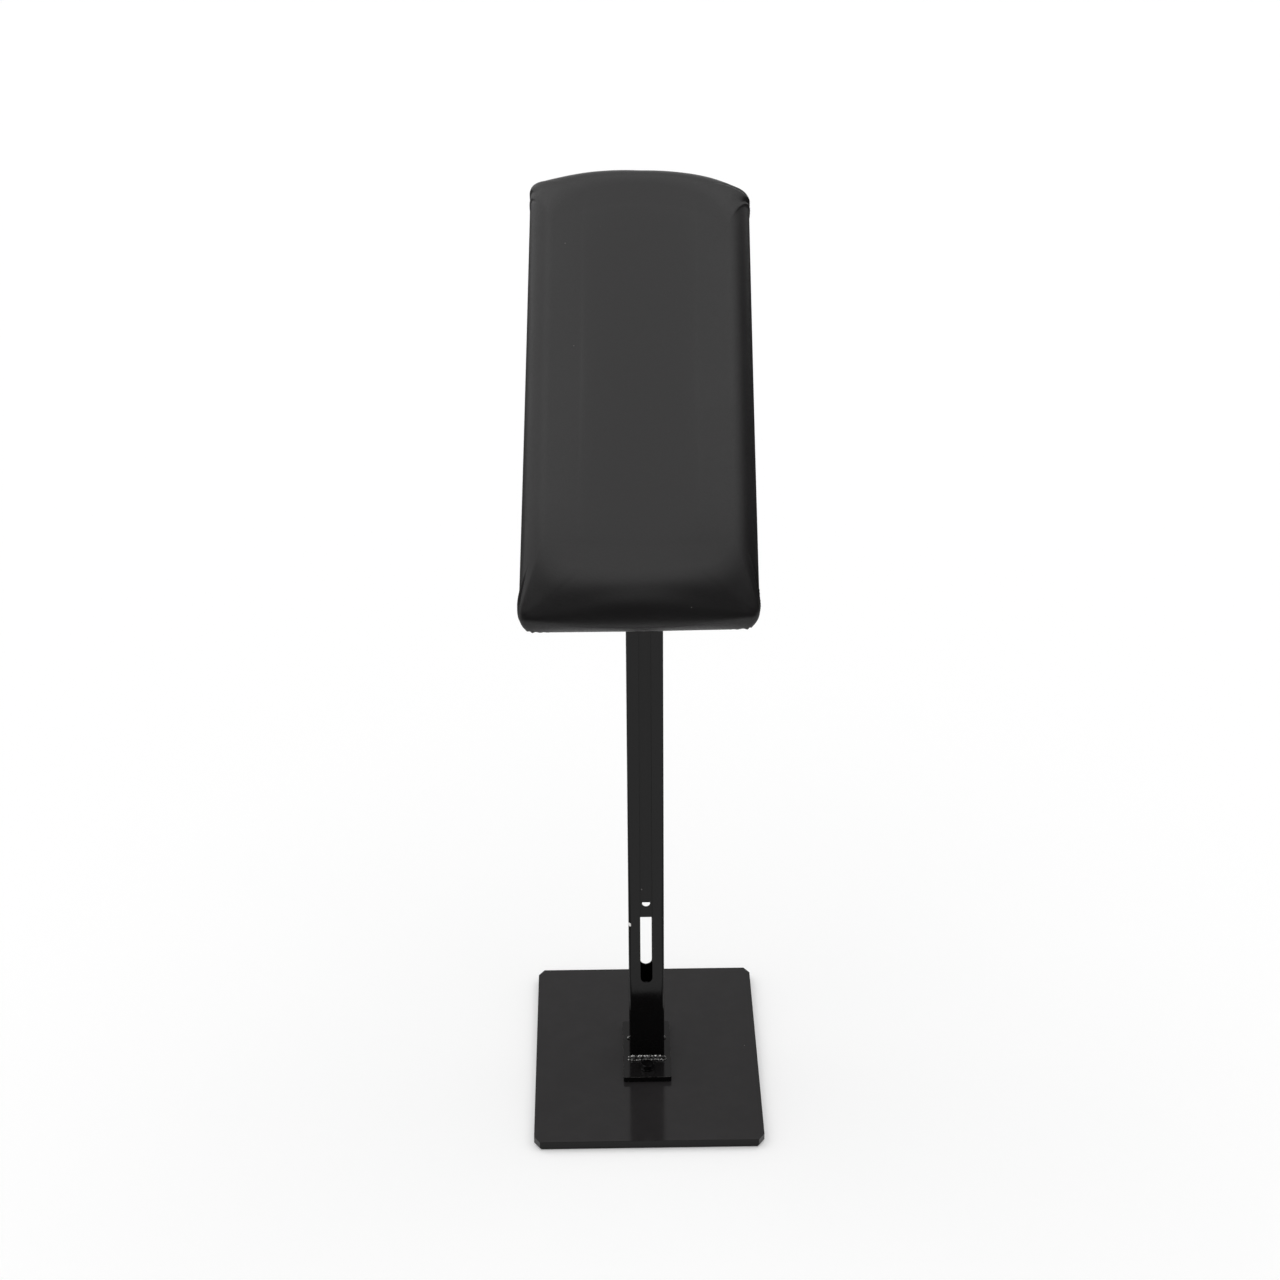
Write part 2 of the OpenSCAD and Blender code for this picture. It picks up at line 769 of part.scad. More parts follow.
// Staple with its back below z = 0 and its legs up through the skin
module staple() {
    translate([-staple_w / 2, -staple_wire / 2, -staple_wire]) cube([staple_w, staple_wire, staple_wire]);
    for (x = [-staple_w / 2, staple_w / 2 - staple_wire]) translate([x, -staple_wire / 2, 0])
        cube([staple_wire, staple_wire, staple_leg]);
}

// Staples along the four sides of a w by l panel, set in from its edge
module staple_round(w, l) {
    along_l = floor((l - 2 * staple_edge) / staple_pitch);
    along_w = floor((w - 2 * staple_edge) / staple_pitch);
    for (side = [-1, 1]) {
        for (i = [0:along_l - 1]) translate([side * (w / 2 - staple_edge),
            (i - (along_l - 1) / 2) * staple_pitch, 0]) rotate(90) staple();
        for (i = [0:along_w - 1]) translate([(i - (along_w - 1) / 2) * staple_pitch,
            side * (l / 2 - staple_edge), 0]) staple();
    }
}

module cover_staples() {
    color(zinc) at_cushion() translate([0, 0, cover_low]) staple_round(board_w, board_l);
}

module dust_cover() {
    color(felt) difference() {
        at_cushion() translate([0, 0, plate_high]) linear_extrude(dust_t)
            rounded_square(opening_w - 2 * dust_gap, opening_l - 2 * dust_gap, board_corner_r);
        at_pivot() at_plate_screws() translate([0, 0, plate_high - cut])
            cylinder(r = small_bolt_r + bolt_gap, h = dust_t + 2 * cut);
    }
}

module dust_staples() {
    color(zinc) at_cushion() translate([0, 0, plate_high])
        staple_round(opening_w - 2 * dust_gap + staple_edge, opening_l - 2 * dust_gap + staple_edge);
}

base_mat();
base_plate();
foot_plate();
foot_weld();
foot_bolts();
foot_washers();
lower_tube();
guide_collar();
inner_tube();
tube_cap();
clamp_bolt();
clamp_washers();
height_knob();
height_knob_insert();
pivot_bolt();
friction_washers();
tilt_washer();
tilt_knob();
tilt_knob_insert();
pad_bracket();
bracket_weld();
bracket_plate();
plate_screws();
plate_washers();
tee_nuts();
pad_board();
pad_foam();
pad_cover();
cover_staples();
dust_cover();
dust_staples();
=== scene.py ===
"""Looks of the padded arm rest stand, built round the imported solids. Metres, in the solids' frame."""

import json
import math

import bmesh
import bpy
import numpy as np
from mathutils import Matrix, Vector, noise


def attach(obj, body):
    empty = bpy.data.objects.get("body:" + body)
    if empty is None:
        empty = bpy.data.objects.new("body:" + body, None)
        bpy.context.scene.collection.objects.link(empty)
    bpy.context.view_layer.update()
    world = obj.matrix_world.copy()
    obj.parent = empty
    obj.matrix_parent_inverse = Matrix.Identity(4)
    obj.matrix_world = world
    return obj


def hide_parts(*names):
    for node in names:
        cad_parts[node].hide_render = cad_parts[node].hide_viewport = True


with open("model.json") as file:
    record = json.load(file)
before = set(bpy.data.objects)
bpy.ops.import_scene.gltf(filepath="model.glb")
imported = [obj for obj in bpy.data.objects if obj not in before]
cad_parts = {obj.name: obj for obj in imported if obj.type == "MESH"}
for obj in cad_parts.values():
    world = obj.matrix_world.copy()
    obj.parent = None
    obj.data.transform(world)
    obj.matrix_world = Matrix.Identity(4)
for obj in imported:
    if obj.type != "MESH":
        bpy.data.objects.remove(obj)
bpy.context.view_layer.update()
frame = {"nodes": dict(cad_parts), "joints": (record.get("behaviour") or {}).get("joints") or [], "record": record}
record = frame["record"]

MM = 0.001
BODY_OF = {node: body for body, nodes in record["behaviour"]["bodies"].items() for node in nodes}
SLOT_OF = {row["node"]: row["material_slot"] for row in record["subparts"]}
JOINTS = {joint["name"]: joint for joint in frame["joints"]}
scene = bpy.context.scene

# Camera, fitted to the photograph's base plate, foot plate, post and pad
PHOTO_SIDE = 1280
FOCAL_PX = 2754.1
SENSOR_MM = 36
CLIP_NEAR, CLIP_FAR = 0.05, 60
CAMERA_AT = Vector((-29.7, -1991.6, 1392.0)) * MM
PITCH, YAW, ROLL = (math.radians(a) for a in (26.258, 0.756, 0.388))


def make_camera():
    ahead = Vector((math.sin(YAW) * math.cos(PITCH), math.cos(YAW) * math.cos(PITCH), -math.sin(PITCH)))
    level = Vector((math.cos(YAW), -math.sin(YAW), 0))
    down = ahead.cross(level)
    right = level * math.cos(ROLL) + down * math.sin(ROLL)
    under = down * math.cos(ROLL) - level * math.sin(ROLL)
    data = bpy.data.cameras.new("camera")
    data.lens = FOCAL_PX / PHOTO_SIDE * SENSOR_MM
    data.sensor_width = SENSOR_MM
    data.clip_start, data.clip_end = CLIP_NEAR, CLIP_FAR
    camera = bpy.data.objects.new("camera", data)
    turn = Matrix((right, -under, -ahead)).transposed()
    camera.matrix_world = Matrix.Translation(CAMERA_AT) @ turn.to_4x4()
    scene.collection.objects.link(camera)
    scene.camera = camera


make_camera()


# Materials
def math_node(tree, how, a, b):
    """A Math node over two sockets or numbers."""
    made = tree.nodes.new("ShaderNodeMath")
    made.operation = how
    for socket, value in zip(made.inputs, (a, b)):
        if isinstance(value, bpy.types.NodeSocket):
            tree.links.new(value, socket)
        else:
            socket.default_value = value
    return made.outputs[0]


class Finish:
    """A procedural material: a Principled shader and the nodes that drive it."""

    # The ragged rim of a mark: scale and depth of its noise, and where it ends and starts, in reaches
    RIM_SCALE, RIM_DEPTH = 900, 0.9
    RIM_END, RIM_START = 1.6, 1.2

    def __init__(self, name, color, roughness, **even):
        self.material = bpy.data.materials.new(name)
        self.material.use_nodes = True
        self.tree = self.material.node_tree
        self.shader = self.tree.nodes["Principled BSDF"]
        self.shader.inputs["Base Color"].default_value = (*color, 1)
        self.shader.inputs["Roughness"].default_value = roughness
        for socket, value in even.items():
            self.shader.inputs[socket.replace("_", " ")].default_value = value
        self.place = self.node("ShaderNodeTexCoord").outputs["Object"]

    def node(self, kind, inputs=None, **settings):
        made = self.tree.nodes.new(kind)
        for key, value in settings.items():
            setattr(made, key, value)
        for key, value in (inputs or {}).items():
            self.feed(made.inputs[key], value)
        return made

    def feed(self, socket, value):
        if isinstance(value, bpy.types.NodeSocket):
            self.tree.links.new(value, socket)
        elif hasattr(value, "__len__") and len(value) == 3 and socket.type == "RGBA":
            socket.default_value = (*value, 1)
        else:
            socket.default_value = value

    def stretched(self, scale):
        return self.node("ShaderNodeMapping", {"Vector": self.place, "Scale": scale}).outputs[0]

    def noise(self, scale, detail=3.0, rough=0.5, distort=0.0, place=None):
        return self.node("ShaderNodeTexNoise", {
            "Vector": place or self.place, "Scale": scale, "Detail": detail,
            "Roughness": rough, "Distortion": distort,
        }).outputs["Fac"]

    def cells(self, scale, feature="F1"):
        return self.node("ShaderNodeTexVoronoi", {"Vector": self.place, "Scale": scale},
                         feature=feature).outputs["Distance"]

    def bands(self, axis, scale, distort):
        return self.node("ShaderNodeTexWave", {"Vector": self.place, "Scale": scale, "Distortion": distort},
                         bands_direction=axis).outputs["Fac"]

    def curve(self, value, low, high, to_low=0.0, to_high=1.0):
        return self.node("ShaderNodeMapRange", {
            "Value": value, "From Min": low, "From Max": high, "To Min": to_low, "To Max": to_high,
        }, interpolation_type="SMOOTHSTEP").outputs[0]

    def plus(self, a, b):
        return math_node(self.tree, "ADD", a, b)

    def times(self, a, b):
        return math_node(self.tree, "MULTIPLY", a, b)

    def blend(self, share, a, b):
        mix = self.node("ShaderNodeMix", data_type="RGBA")
        self.feed(mix.inputs["Factor"], share)
        self.feed(mix.inputs["A"], a)
        self.feed(mix.inputs["B"], b)
        return mix.outputs["Result"]

    def near(self, place, reach):
        """Share of 1 within a reach of a place, with a soft ragged rim."""
        ragged = self.times(self.noise(self.RIM_SCALE, 3), self.RIM_DEPTH * reach)
        off = self.node("ShaderNodeVectorMath", {0: self.place, 1: place}, operation="DISTANCE")
        ragged = self.plus(off.outputs["Value"], ragged)
        return self.curve(ragged, self.RIM_END * reach, self.RIM_START * reach)

    def height(self):
        return self.node("ShaderNodeSeparateXYZ", {0: self.place}).outputs["Z"]

    def stored(self, name):
        return self.node("ShaderNodeAttribute", attribute_name=name).outputs["Fac"]

    def upward(self):
        """How far the object's own surface faces up."""
        normal = self.node("ShaderNodeTexCoord").outputs["Normal"]
        return self.node("ShaderNodeSeparateXYZ", {0: normal}).outputs["Z"]

    def bumps(self, *layers):
        """Layers of (height, strength, depth in millimetres), the coarsest first."""
        normal = None
        for height, strength, depth in layers:
            inputs = {"Height": height, "Strength": strength, "Distance": depth * MM}
            bump = self.node("ShaderNodeBump", inputs)
            if normal is not None:
                self.tree.links.new(normal, bump.inputs["Normal"])
            normal = bump.outputs["Normal"]
        self.tree.links.new(normal, self.shader.inputs["Normal"])

    def color(self, value):
        self.feed(self.shader.inputs["Base Color"], value)

    def roughness(self, value):
        self.feed(self.shader.inputs["Roughness"], value)


# The chip in the paint on the left edge of the post, and the heights between which the lighter tone of settled
# dirt and painted sheen thins out
CHIP_AT, CHIP_REACH = Vector((-14.6, -14.6, 149.0)) * MM, 1.9 * MM
DUST_AND_SHEEN_FULL_BELOW, DUST_AND_SHEEN_THIN_ABOVE, DUST_AND_SHEEN_LEFT = 9 * MM, 12 * MM, 0.3


def gloss_black_paint():
    # The lighter tone for up-facing surfaces is partly settled dirt and partly a painted sheen
    black, dusty_sheen, speck = (0.0035, 0.0033, 0.0034), (0.0213, 0.0200, 0.0206), (0.35, 0.34, 0.33)
    rubbed_and_glint, chipped = (0.07, 0.068, 0.066), (0.93, 0.92, 0.9)
    f = Finish("gloss_black_paint", black, 0.1, Specular_IOR_Level=0.25)
    peel = f.noise(420, 2, 0.5)
    cloud = f.noise(9, 3, 0.6)

    # Up-facing surfaces are lightened partly by settled dirt and partly by a painted sheen, most of all on the
    # base plate
    patches = f.noise(45, 6, 0.65)
    level = f.times(f.curve(f.upward(), 0.75, 0.98), f.curve(patches, 0.3, 0.75, 0.84, 1.0))
    dust_and_sheen = f.times(level, f.curve(f.height(), DUST_AND_SHEEN_FULL_BELOW, DUST_AND_SHEEN_THIN_ABOVE, 1.0, DUST_AND_SHEEN_LEFT))
    specks = f.times(f.curve(f.cells(90), 0.05, 0.028), f.curve(f.noise(19, 2), 0.60, 0.64))
    coat = f.blend(dust_and_sheen, black, dusty_sheen)
    coat = f.blend(f.times(specks, 0.8), coat, speck)

    # Edges are worn to a lighter colour in places. Where their mark is above 1, as on the foot plate's front edge,
    # that colour spreads further as a painted highlight
    edge = f.stored("edge")
    thin = f.plus(f.noise(240, 4, 0.7), f.times(f.plus(edge, -1.0), 0.1))
    worn = f.times(edge, f.curve(thin, 0.60, 0.68))
    coat = f.blend(f.times(worn, 0.5), coat, rubbed_and_glint)
    f.color(f.blend(f.near(CHIP_AT, CHIP_REACH), coat, chipped))
    f.roughness(f.plus(f.curve(cloud, 0.25, 0.75, 0.07, 0.12), f.curve(patches, 0.3, 0.75, 0.0, 0.03)))
    f.bumps((cloud, 0.02, 3), (peel, 0.03, 0.3))
    return f.material


def painted_weld():
    clean, sooty, glint_metal = (0.004, 0.0038, 0.0038), (0.02, 0.019, 0.018), (0.95, 0.94, 0.92)
    f = Finish("painted_weld", (0.005, 0.0048, 0.0048), 0.14, Specular_IOR_Level=0.5)
    spatter = f.curve(f.cells(900), 0.5, 0.1)
    soot = f.noise(300, 5, 0.7)
    paint = f.blend(f.curve(soot, 0.45, 0.7), clean, sooty)
    # Unpainted steel at the toes and at the rear bead's ends is made very bright, which paints the weld's glints
    bare_glint = f.times(f.stored("glint_crest"), f.curve(f.noise(700, 3), 0.3, 0.42))
    f.color(f.blend(bare_glint, paint, glint_metal))
    f.feed(f.shader.inputs["Metallic"], bare_glint)
    f.roughness(f.plus(f.curve(soot, 0.3, 0.7, 0.1, 0.3), f.times(bare_glint, 0.12)))
    f.bumps((f.noise(450, 3), 0.35, 0.6), (spatter, 0.2, 0.3))
    return f.material


def rubber_mat():
    dark, worn = (0.014, 0.014, 0.015), (0.026, 0.026, 0.027)
    f = Finish("rubber_mat", (0.018, 0.018, 0.019), 0.85, Specular_IOR_Level=0.25)
    grain = f.noise(900, 4, 0.6)
    ribs = f.bands("Y", 60.0, 0.0)
    f.color(f.blend(grain, dark, worn))
    f.roughness(f.curve(grain, 0.3, 0.7, 0.75, 0.92))
    f.bumps((ribs, 0.25, 0.6), (grain, 0.3, 0.3))
    return f.material


def plated(name, color, dull, rough):
    """Plated steel: fine turned or rolled lines under a thin uneven film."""
    f = Finish(name, color, rough, Metallic=1.0)
    film = f.noise(90, 4, 0.6, 0.4)
    lines = f.noise(350, 3, 0.6, place=f.stretched((1, 1, 9)))
    f.color(f.blend(f.curve(film, 0.35, 0.7), color, dull))
    filmed = f.curve(film, 0.3, 0.7, rough - 0.04, rough + 0.1)
    f.roughness(f.plus(f.curve(lines, 0.2, 0.8, -0.06, 0.08), filmed))
    f.bumps((lines, 0.12, 0.2))
    return f.material


def black_plastic():
    dark, faded, handled_edge = (0.012, 0.0118, 0.0122), (0.018, 0.0178, 0.018), (0.03, 0.03, 0.03)
    f = Finish("black_plastic", (0.014, 0.0138, 0.0142), 0.45, Specular_IOR_Level=0.45)
    spark = f.cells(1400)
    handled = f.noise(40, 4, 0.6)
    worn = f.times(f.stored("edge"), f.curve(handled, 0.45, 0.65))
    f.color(f.blend(worn, f.blend(handled, dark, faded), handled_edge))
    f.roughness(f.plus(f.curve(handled, 0.3, 0.7, 0.5, 0.36), f.times(worn, -0.1)))
    f.bumps((spark, 0.3, 0.22), (handled, 0.04, 1))
    return f.material


def brass_insert():
    bright, tarnished = (0.62, 0.45, 0.17), (0.42, 0.28, 0.1)
    f = Finish("brass_insert", (0.6, 0.44, 0.16), 0.28, Metallic=1.0)
    turned = f.noise(600, 3, 0.6, place=f.stretched((1, 1, 14)))
    film = f.noise(120, 3)
    f.color(f.blend(film, bright, tarnished))
    f.roughness(f.curve(turned, 0.2, 0.8, 0.2, 0.38))
    f.bumps((turned, 0.2, 0.2))
    return f.material


def white_nylon():
    clean, marked = (0.8, 0.79, 0.74), (0.68, 0.66, 0.6)
    f = Finish("white_nylon", (0.78, 0.77, 0.72), 0.4, Subsurface_Weight=0.15, Subsurface_Scale=0.002)
    mark = f.noise(200, 4)
    f.color(f.blend(mark, clean, marked))
    f.roughness(f.curve(mark, 0.3, 0.7, 0.34, 0.5))
    f.bumps((mark, 0.1, 0.3))
    return f.material


def plywood():
    light, dark = (0.6, 0.43, 0.25), (0.36, 0.22, 0.11)
    f = Finish("plywood", (0.55, 0.38, 0.2), 0.7)
    grain = f.noise(26, 6, 0.6, 0.8, f.stretched((9, 1, 9)))
    plies = f.bands("Z", 95.0, 0.6)
    f.color(f.blend(f.plus(grain, f.times(plies, 0.3)), light, dark))
    f.roughness(f.curve(grain, 0.3, 0.7, 0.6, 0.8))
    f.bumps((grain, 0.25, 0.5))
    return f.material


def black_felt():
    deep, fuzzy = (0.009, 0.009, 0.0095), (0.045, 0.045, 0.047)
    f = Finish("black_felt", (0.018, 0.018, 0.019), 0.95, Sheen_Weight=0.25, Sheen_Roughness=0.5)
    fibres = f.noise(700, 5, 0.75, 1.6)
    matted = f.noise(90, 4, 0.6)
    bonds = f.cells(420)
    f.color(f.blend(f.times(fibres, matted), deep, fuzzy))
    f.roughness(f.curve(matted, 0.3, 0.7, 0.88, 1.0))
    f.bumps((fibres, 0.6, 0.5), (bonds, 0.35, 0.3))
    return f.material


def black_leather():
    deep, faded, lint_grey = (0.0083, 0.0076, 0.0080), (0.0098, 0.0091, 0.0095), (0.2, 0.19, 0.18)
    f = Finish("black_leather", (0.0090, 0.0083, 0.0087), 0.42, Specular_IOR_Level=0.38)
    warp = f.noise(120, 2)
    grain = f.cells(950, "SMOOTH_F1")
    fine = f.cells(2300)
    pores = f.curve(f.cells(620), 0.22, 0.05)
    cloud = f.noise(14, 4, 0.55)
    lint = f.times(f.curve(f.cells(120), 0.055, 0.03), f.curve(f.noise(23, 2), 0.63, 0.67))
    skin = f.blend(f.curve(cloud, 0.3, 0.7), deep, faded)
    f.color(f.blend(f.times(lint, 0.7), skin, lint_grey))
    f.roughness(f.plus(f.curve(cloud, 0.25, 0.75, 0.39, 0.45), f.curve(grain, 0.2, 0.6, -0.03, 0.04)))
    f.bumps((warp, 0.03, 1), (grain, 0.14, 0.25), (fine, 0.07, 0.12), (pores, 0.05, 0.2))
    return f.material


# The foam has no finish, because the leather covers it all
FINISHES = {
    "rubber_mat": rubber_mat(),
    "gloss_black_paint": gloss_black_paint(),
    "painted_weld": painted_weld(),
    "black_zinc": plated("black_zinc", (0.05, 0.049, 0.05), (0.025, 0.024, 0.025), 0.3),
    "bright_zinc": plated("bright_zinc", (0.6, 0.61, 0.63), (0.42, 0.42, 0.41), 0.26),
    "black_plastic": black_plastic(),
    "brass_insert": brass_insert(),
    "white_nylon": white_nylon(),
    "plywood": plywood(),
    "black_felt": black_felt(),
    "black_leather": black_leather(),
}


# Pieces
def new_piece(name, bm, *nodes):
    """A smooth mesh piece that stands for these nodes, rides on their body and takes their finish."""
    mesh = bpy.data.meshes.new(name)
    bm.to_mesh(mesh)
    bm.free()
    for face in mesh.polygons:
        face.use_smooth = True
    piece = bpy.data.objects.new(name, mesh)
    scene.collection.objects.link(piece)
    mesh.materials.append(FINISHES[SLOT_OF[nodes[0]]])
    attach(piece, BODY_OF[nodes[0]])
    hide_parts(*nodes)
    return piece


SAME_POINT = 2e-6
SAME_PLANE = math.radians(0.4)
SLIVER = 1e-6
LARGE_FACE_WEIGHT = 80

# The hard pieces, with the width in millimetres of the round on their edges, and other settings of edged()
HARD_PIECES = (
    # Base and post
    ("base_mat", 0.4, {"turn": 25}),
    ("base_plate", 0.6, {"turn": 25, "segments": 3}),
    # The foot plate's edges are marked above 1, which paints a highlight along its front edge
    ("foot_plate", 0.7, {"segments": 3, "wear_and_glint": 2.6}),
    ("foot_bolts", 0.35, {}),
    ("foot_washers", 0.2, {}),
    ("lower_tube", 0.35, {}),
    ("guide_collar", 0.5, {}),
    ("inner_tube", 0.35, {}),
    ("tube_cap", 0.5, {"cramped": True}),
    ("clamp_bolt", 0.35, {}),
    ("clamp_washers", 0.25, {}),
    ("height_knob", 0.5, {}),
    ("height_knob_insert", 0.3, {}),
    # Tilting bracket
    ("pivot_bolt", 0.3, {}),
    ("friction_washers", 0.25, {}),
    ("tilt_washer", 0.25, {}),
    ("tilt_knob", 0.5, {"cramped": True}),
    ("tilt_knob_insert", 0.3, {}),
    ("pad_bracket", 0.4, {}),
    ("bracket_plate", 0.4, {}),
    ("plate_screws", 0.35, {}),
    ("plate_washers", 0.2, {}),
)


def edged(node, width, turn=32, segments=2, wear_and_glint=1.0, cramped=False):
    """The node's own shape, with its sharp edges rounded and marked, so that they catch the light and get worn. A
    mark above 1, as on the foot plate, spreads the lighter worn colour along them as a painted highlight.
    An edge is sharp where the surface turns by more than turn degrees. Where rounds meet in a cramped
    shape, the slivers between them are taken out."""
    bm = bmesh.new()
    bm.from_mesh(frame["nodes"][node].data)
    bmesh.ops.remove_doubles(bm, verts=bm.verts, dist=SAME_POINT)
    bmesh.ops.dissolve_limit(bm, angle_limit=SAME_PLANE, verts=bm.verts, edges=bm.edges)
    bm.normal_update()
    sharp = [e for e in bm.edges if len(e.link_faces) == 2 and e.calc_face_angle(0) > math.radians(turn)]
    edge = bm.verts.layers.float.new("edge")
    made = bmesh.ops.bevel(bm, geom=sharp, offset=width, offset_type="OFFSET", segments=segments,
                           profile=0.5, affect="EDGES", clamp_overlap=True)
    rounded = set(made["faces"])
    for vert in {v for face in rounded for v in face.verts}:
        vert[edge] = wear_and_glint * all(face in rounded for face in vert.link_faces)
    if cramped:
        bmesh.ops.dissolve_degenerate(bm, dist=SLIVER, edges=bm.edges[:])
    piece = new_piece(f"{node}_dressed", bm, node)
    weighted = piece.modifiers.new("even_normals", "WEIGHTED_NORMAL")
    weighted.keep_sharp = True
    weighted.weight = LARGE_FACE_WEIGHT


for node, width, settings in HARD_PIECES:
    edged(node, width * MM, **settings)

# Weld beads
RIPPLE_PITCH = 2.3 * MM
RIPPLE_DRIFT, RIPPLE_DRIFT_RUN = 0.5, 6 * MM
RIPPLE_CURL, RIPPLE_FADE, RIPPLE_RISE = 0.7, 0.7, 0.18


def ripple(run, across, seed):
    """Height of a stacked-crescent weld ripple, from 0 to 1, with uneven steps."""
    drift = RIPPLE_DRIFT * noise.noise(Vector((run / RIPPLE_DRIFT_RUN, seed, 0)))
    phase = run / RIPPLE_PITCH + drift - RIPPLE_CURL * (2 * across - 1) ** 2
    step = phase - math.floor(phase)
    return (1 - step) ** RIPPLE_FADE if step > RIPPLE_RISE else step / RIPPLE_RISE


def smooth_step(value, low, high):
    share = min(1, max(0, (value - low) / (high - low)))
    return share * share * (3 - 2 * share)


def bead_body(bm, glint_crest, rows):
    """A bead through rows of (point, share of unpainted steel, whose brightness paints glints). Each row runs from
    toe to toe and back along the corner.
    """
    verts = []
    for row in rows:
        made = []
        for point, bare_glint in row:
            vert = bm.verts.new(point)
            vert[glint_crest] = bare_glint
            made.append(vert)
        verts.append(made)
    for a, b in zip(verts, verts[1:]):
        for k in range(len(a)):
            j = (k + 1) % len(a)
            bm.faces.new((a[k], b[k], b[j], a[j]))
    bm.faces.new(verts[0])
    bm.faces.new(verts[-1][::-1])


def make_beads(name, node, steps, row_of):
    """Two beads, one on each side. row_of gives the points across the bead of a side at a step."""
    bm = bmesh.new()
    glint_crest = bm.verts.layers.float.new("glint_crest")
    for side in (-1, 1):
        bead_body(bm, glint_crest, [row_of(side, i) for i in range(steps + 1)])
    bmesh.ops.recalc_face_normals(bm, faces=bm.faces)
    new_piece(name, bm, node)


# Beads at the front and the back of the tube's foot
TUBE_HALF = 15 * MM
FOOT_TOP = 13 * MM
FOOT_STEPS, FOOT_ACROSS = 190, 14
FOOT_BITE, FOOT_SINK = 0.1 * MM, 0.05 * MM
WELD_LEG = 4 * MM
WELD_HALF, WELD_END = 17 * MM, 0.999
END_LEAST = 0.12
# Shares of the bead's leg: its body, the hollow of its face, its ripples and its lumps
BODY, HOLLOW, RIPPLES, LUMPS = 0.95, 0.12, 0.10, 0.13
LUMP_RUN, LUMP_ACROSS = 2.1 * MM, 2.6
SPOT_RUN, SPOT_ACROSS = 1.4 * MM, 5.2
RIPPLE_SEED, LUMP_SEED, SPOT_SEED = 1.7, 5, 11
# Unpainted steel, made very bright to paint glints, gathers along the toes: place across the bead, width and
# strength
TOES = ((0.84, 0.11, 1), (0.2, 0.1, 0.85))
TOE_HELP = 0.35
BARE_GLINT_SPOTS, BARE_GLINT_TOES = (0.28, 0.42), (0.2, 0.5)
# The rear bead is unpainted at its ends too, for painted glints there: how far past its straight part, and how far
# up its face
REAR_PAST, REAR_UP = (0.15, 0.6), (0.3, 0.6)


def foot_row(side, i):
    place = 2 * i / FOOT_STEPS - 1
    run = WELD_HALF * math.sin(place * math.pi / 2) * WELD_END
    past = max(0, abs(run) - (WELD_HALF - WELD_LEG))
    taper = max(END_LEAST, math.sqrt(max(0, 1 - (past / WELD_LEG) ** 2)))
    row = []
    for k in range(FOOT_ACROSS + 1):
        share = k / FOOT_ACROSS
        a = share * math.pi / 2
        belly = math.sin(2 * a)
        lumps = noise.noise(Vector((run / LUMP_RUN, share * LUMP_ACROSS, LUMP_SEED + side)))
        rippled = RIPPLES * belly * ripple(run, share, RIPPLE_SEED + side)
        reach = WELD_LEG * taper * (BODY - HOLLOW * belly + rippled + LUMPS * lumps)
        spots = noise.noise(Vector((run / SPOT_RUN, share * SPOT_ACROSS, SPOT_SEED + 3 * side)))
        toes = max(strength * math.exp(-((share - at) / width) ** 2) for at, width, strength in TOES)
        bare_glint = smooth_step(spots + TOE_HELP * toes, *BARE_GLINT_SPOTS) * smooth_step(toes, *BARE_GLINT_TOES)
        if side > 0:
            bare_glint = max(bare_glint, smooth_step(past / WELD_LEG, *REAR_PAST) * smooth_step(share, *REAR_UP))
        row.append((Vector((
            run,
            side * (TUBE_HALF - FOOT_BITE + reach * math.cos(a)),
            FOOT_TOP - FOOT_SINK + reach * math.sin(a),
        )), bare_glint))
    row.append((Vector((run, side * (TUBE_HALF - FOOT_BITE), FOOT_TOP - FOOT_SINK)), 0.0))
    return row


make_beads("foot_weld_beads", "foot_weld", FOOT_STEPS, foot_row)

# Pad
PIVOT = Vector(JOINTS["pad_tilt"]["pos_m"])
TILT, PAD_TURN, PAD_SHIFT = math.radians(32), math.radians(-1), -3 * MM
COVER_LOW = 35.4 * MM
AT_PIVOT = Matrix.Translation(PIVOT) @ Matrix.Rotation(TILT, 4, "X")
AT_PAD = (AT_PIVOT @ Matrix.Translation((PAD_SHIFT, 0, 0)) @ Matrix.Rotation(PAD_TURN, 4, "Z")
          @ Matrix.Translation((0, 0, COVER_LOW)))

# Beads between the bracket and its plate
WEB_TOP = 33 * MM
EAR_OUT = 17 * MM
WEB_L = 50 * MM
BRACKET_STEPS, BRACKET_ACROSS = 150, 10
BRACKET_BITE, BRACKET_SINK = 0.2 * MM, 0.05 * MM
BRACKET_BEAD_R = 3 * MM
BRACKET_BODY, BRACKET_RIPPLES, BRACKET_SEED = 0.86, 0.12, 5
# A bead's end: its least share of the radius, and how fast it grows along the bead
BRACKET_END, BRACKET_GROWTH = 0.25, 6


def bracket_row(side, i):
    run = i * WEB_L / BRACKET_STEPS
    taper = min(1, BRACKET_GROWTH * min(i, BRACKET_STEPS - i) / BRACKET_STEPS + BRACKET_END)
    corner = (side * (EAR_OUT - BRACKET_BITE), run - WEB_L / 2, WEB_TOP + BRACKET_SINK)
    row = []
    for k in range(BRACKET_ACROSS + 1):
        share = k / BRACKET_ACROSS
        a = share * math.pi / 2
        rippled = BRACKET_RIPPLES * ripple(run, share, BRACKET_SEED + side) * math.sin(2 * a)
        reach = BRACKET_BEAD_R * taper * (BRACKET_BODY + rippled)
        row.append((AT_PIVOT @ Vector((
            side * (EAR_OUT - BRACKET_BITE + reach * math.cos(a)),
            corner[1],
            corner[2] - reach * math.sin(a),
        )), 0.0))
    row.append((AT_PIVOT @ Vector(corner), 0.0))
    return row


make_beads("bracket_weld_beads", "bracket_weld", BRACKET_STEPS, bracket_row)

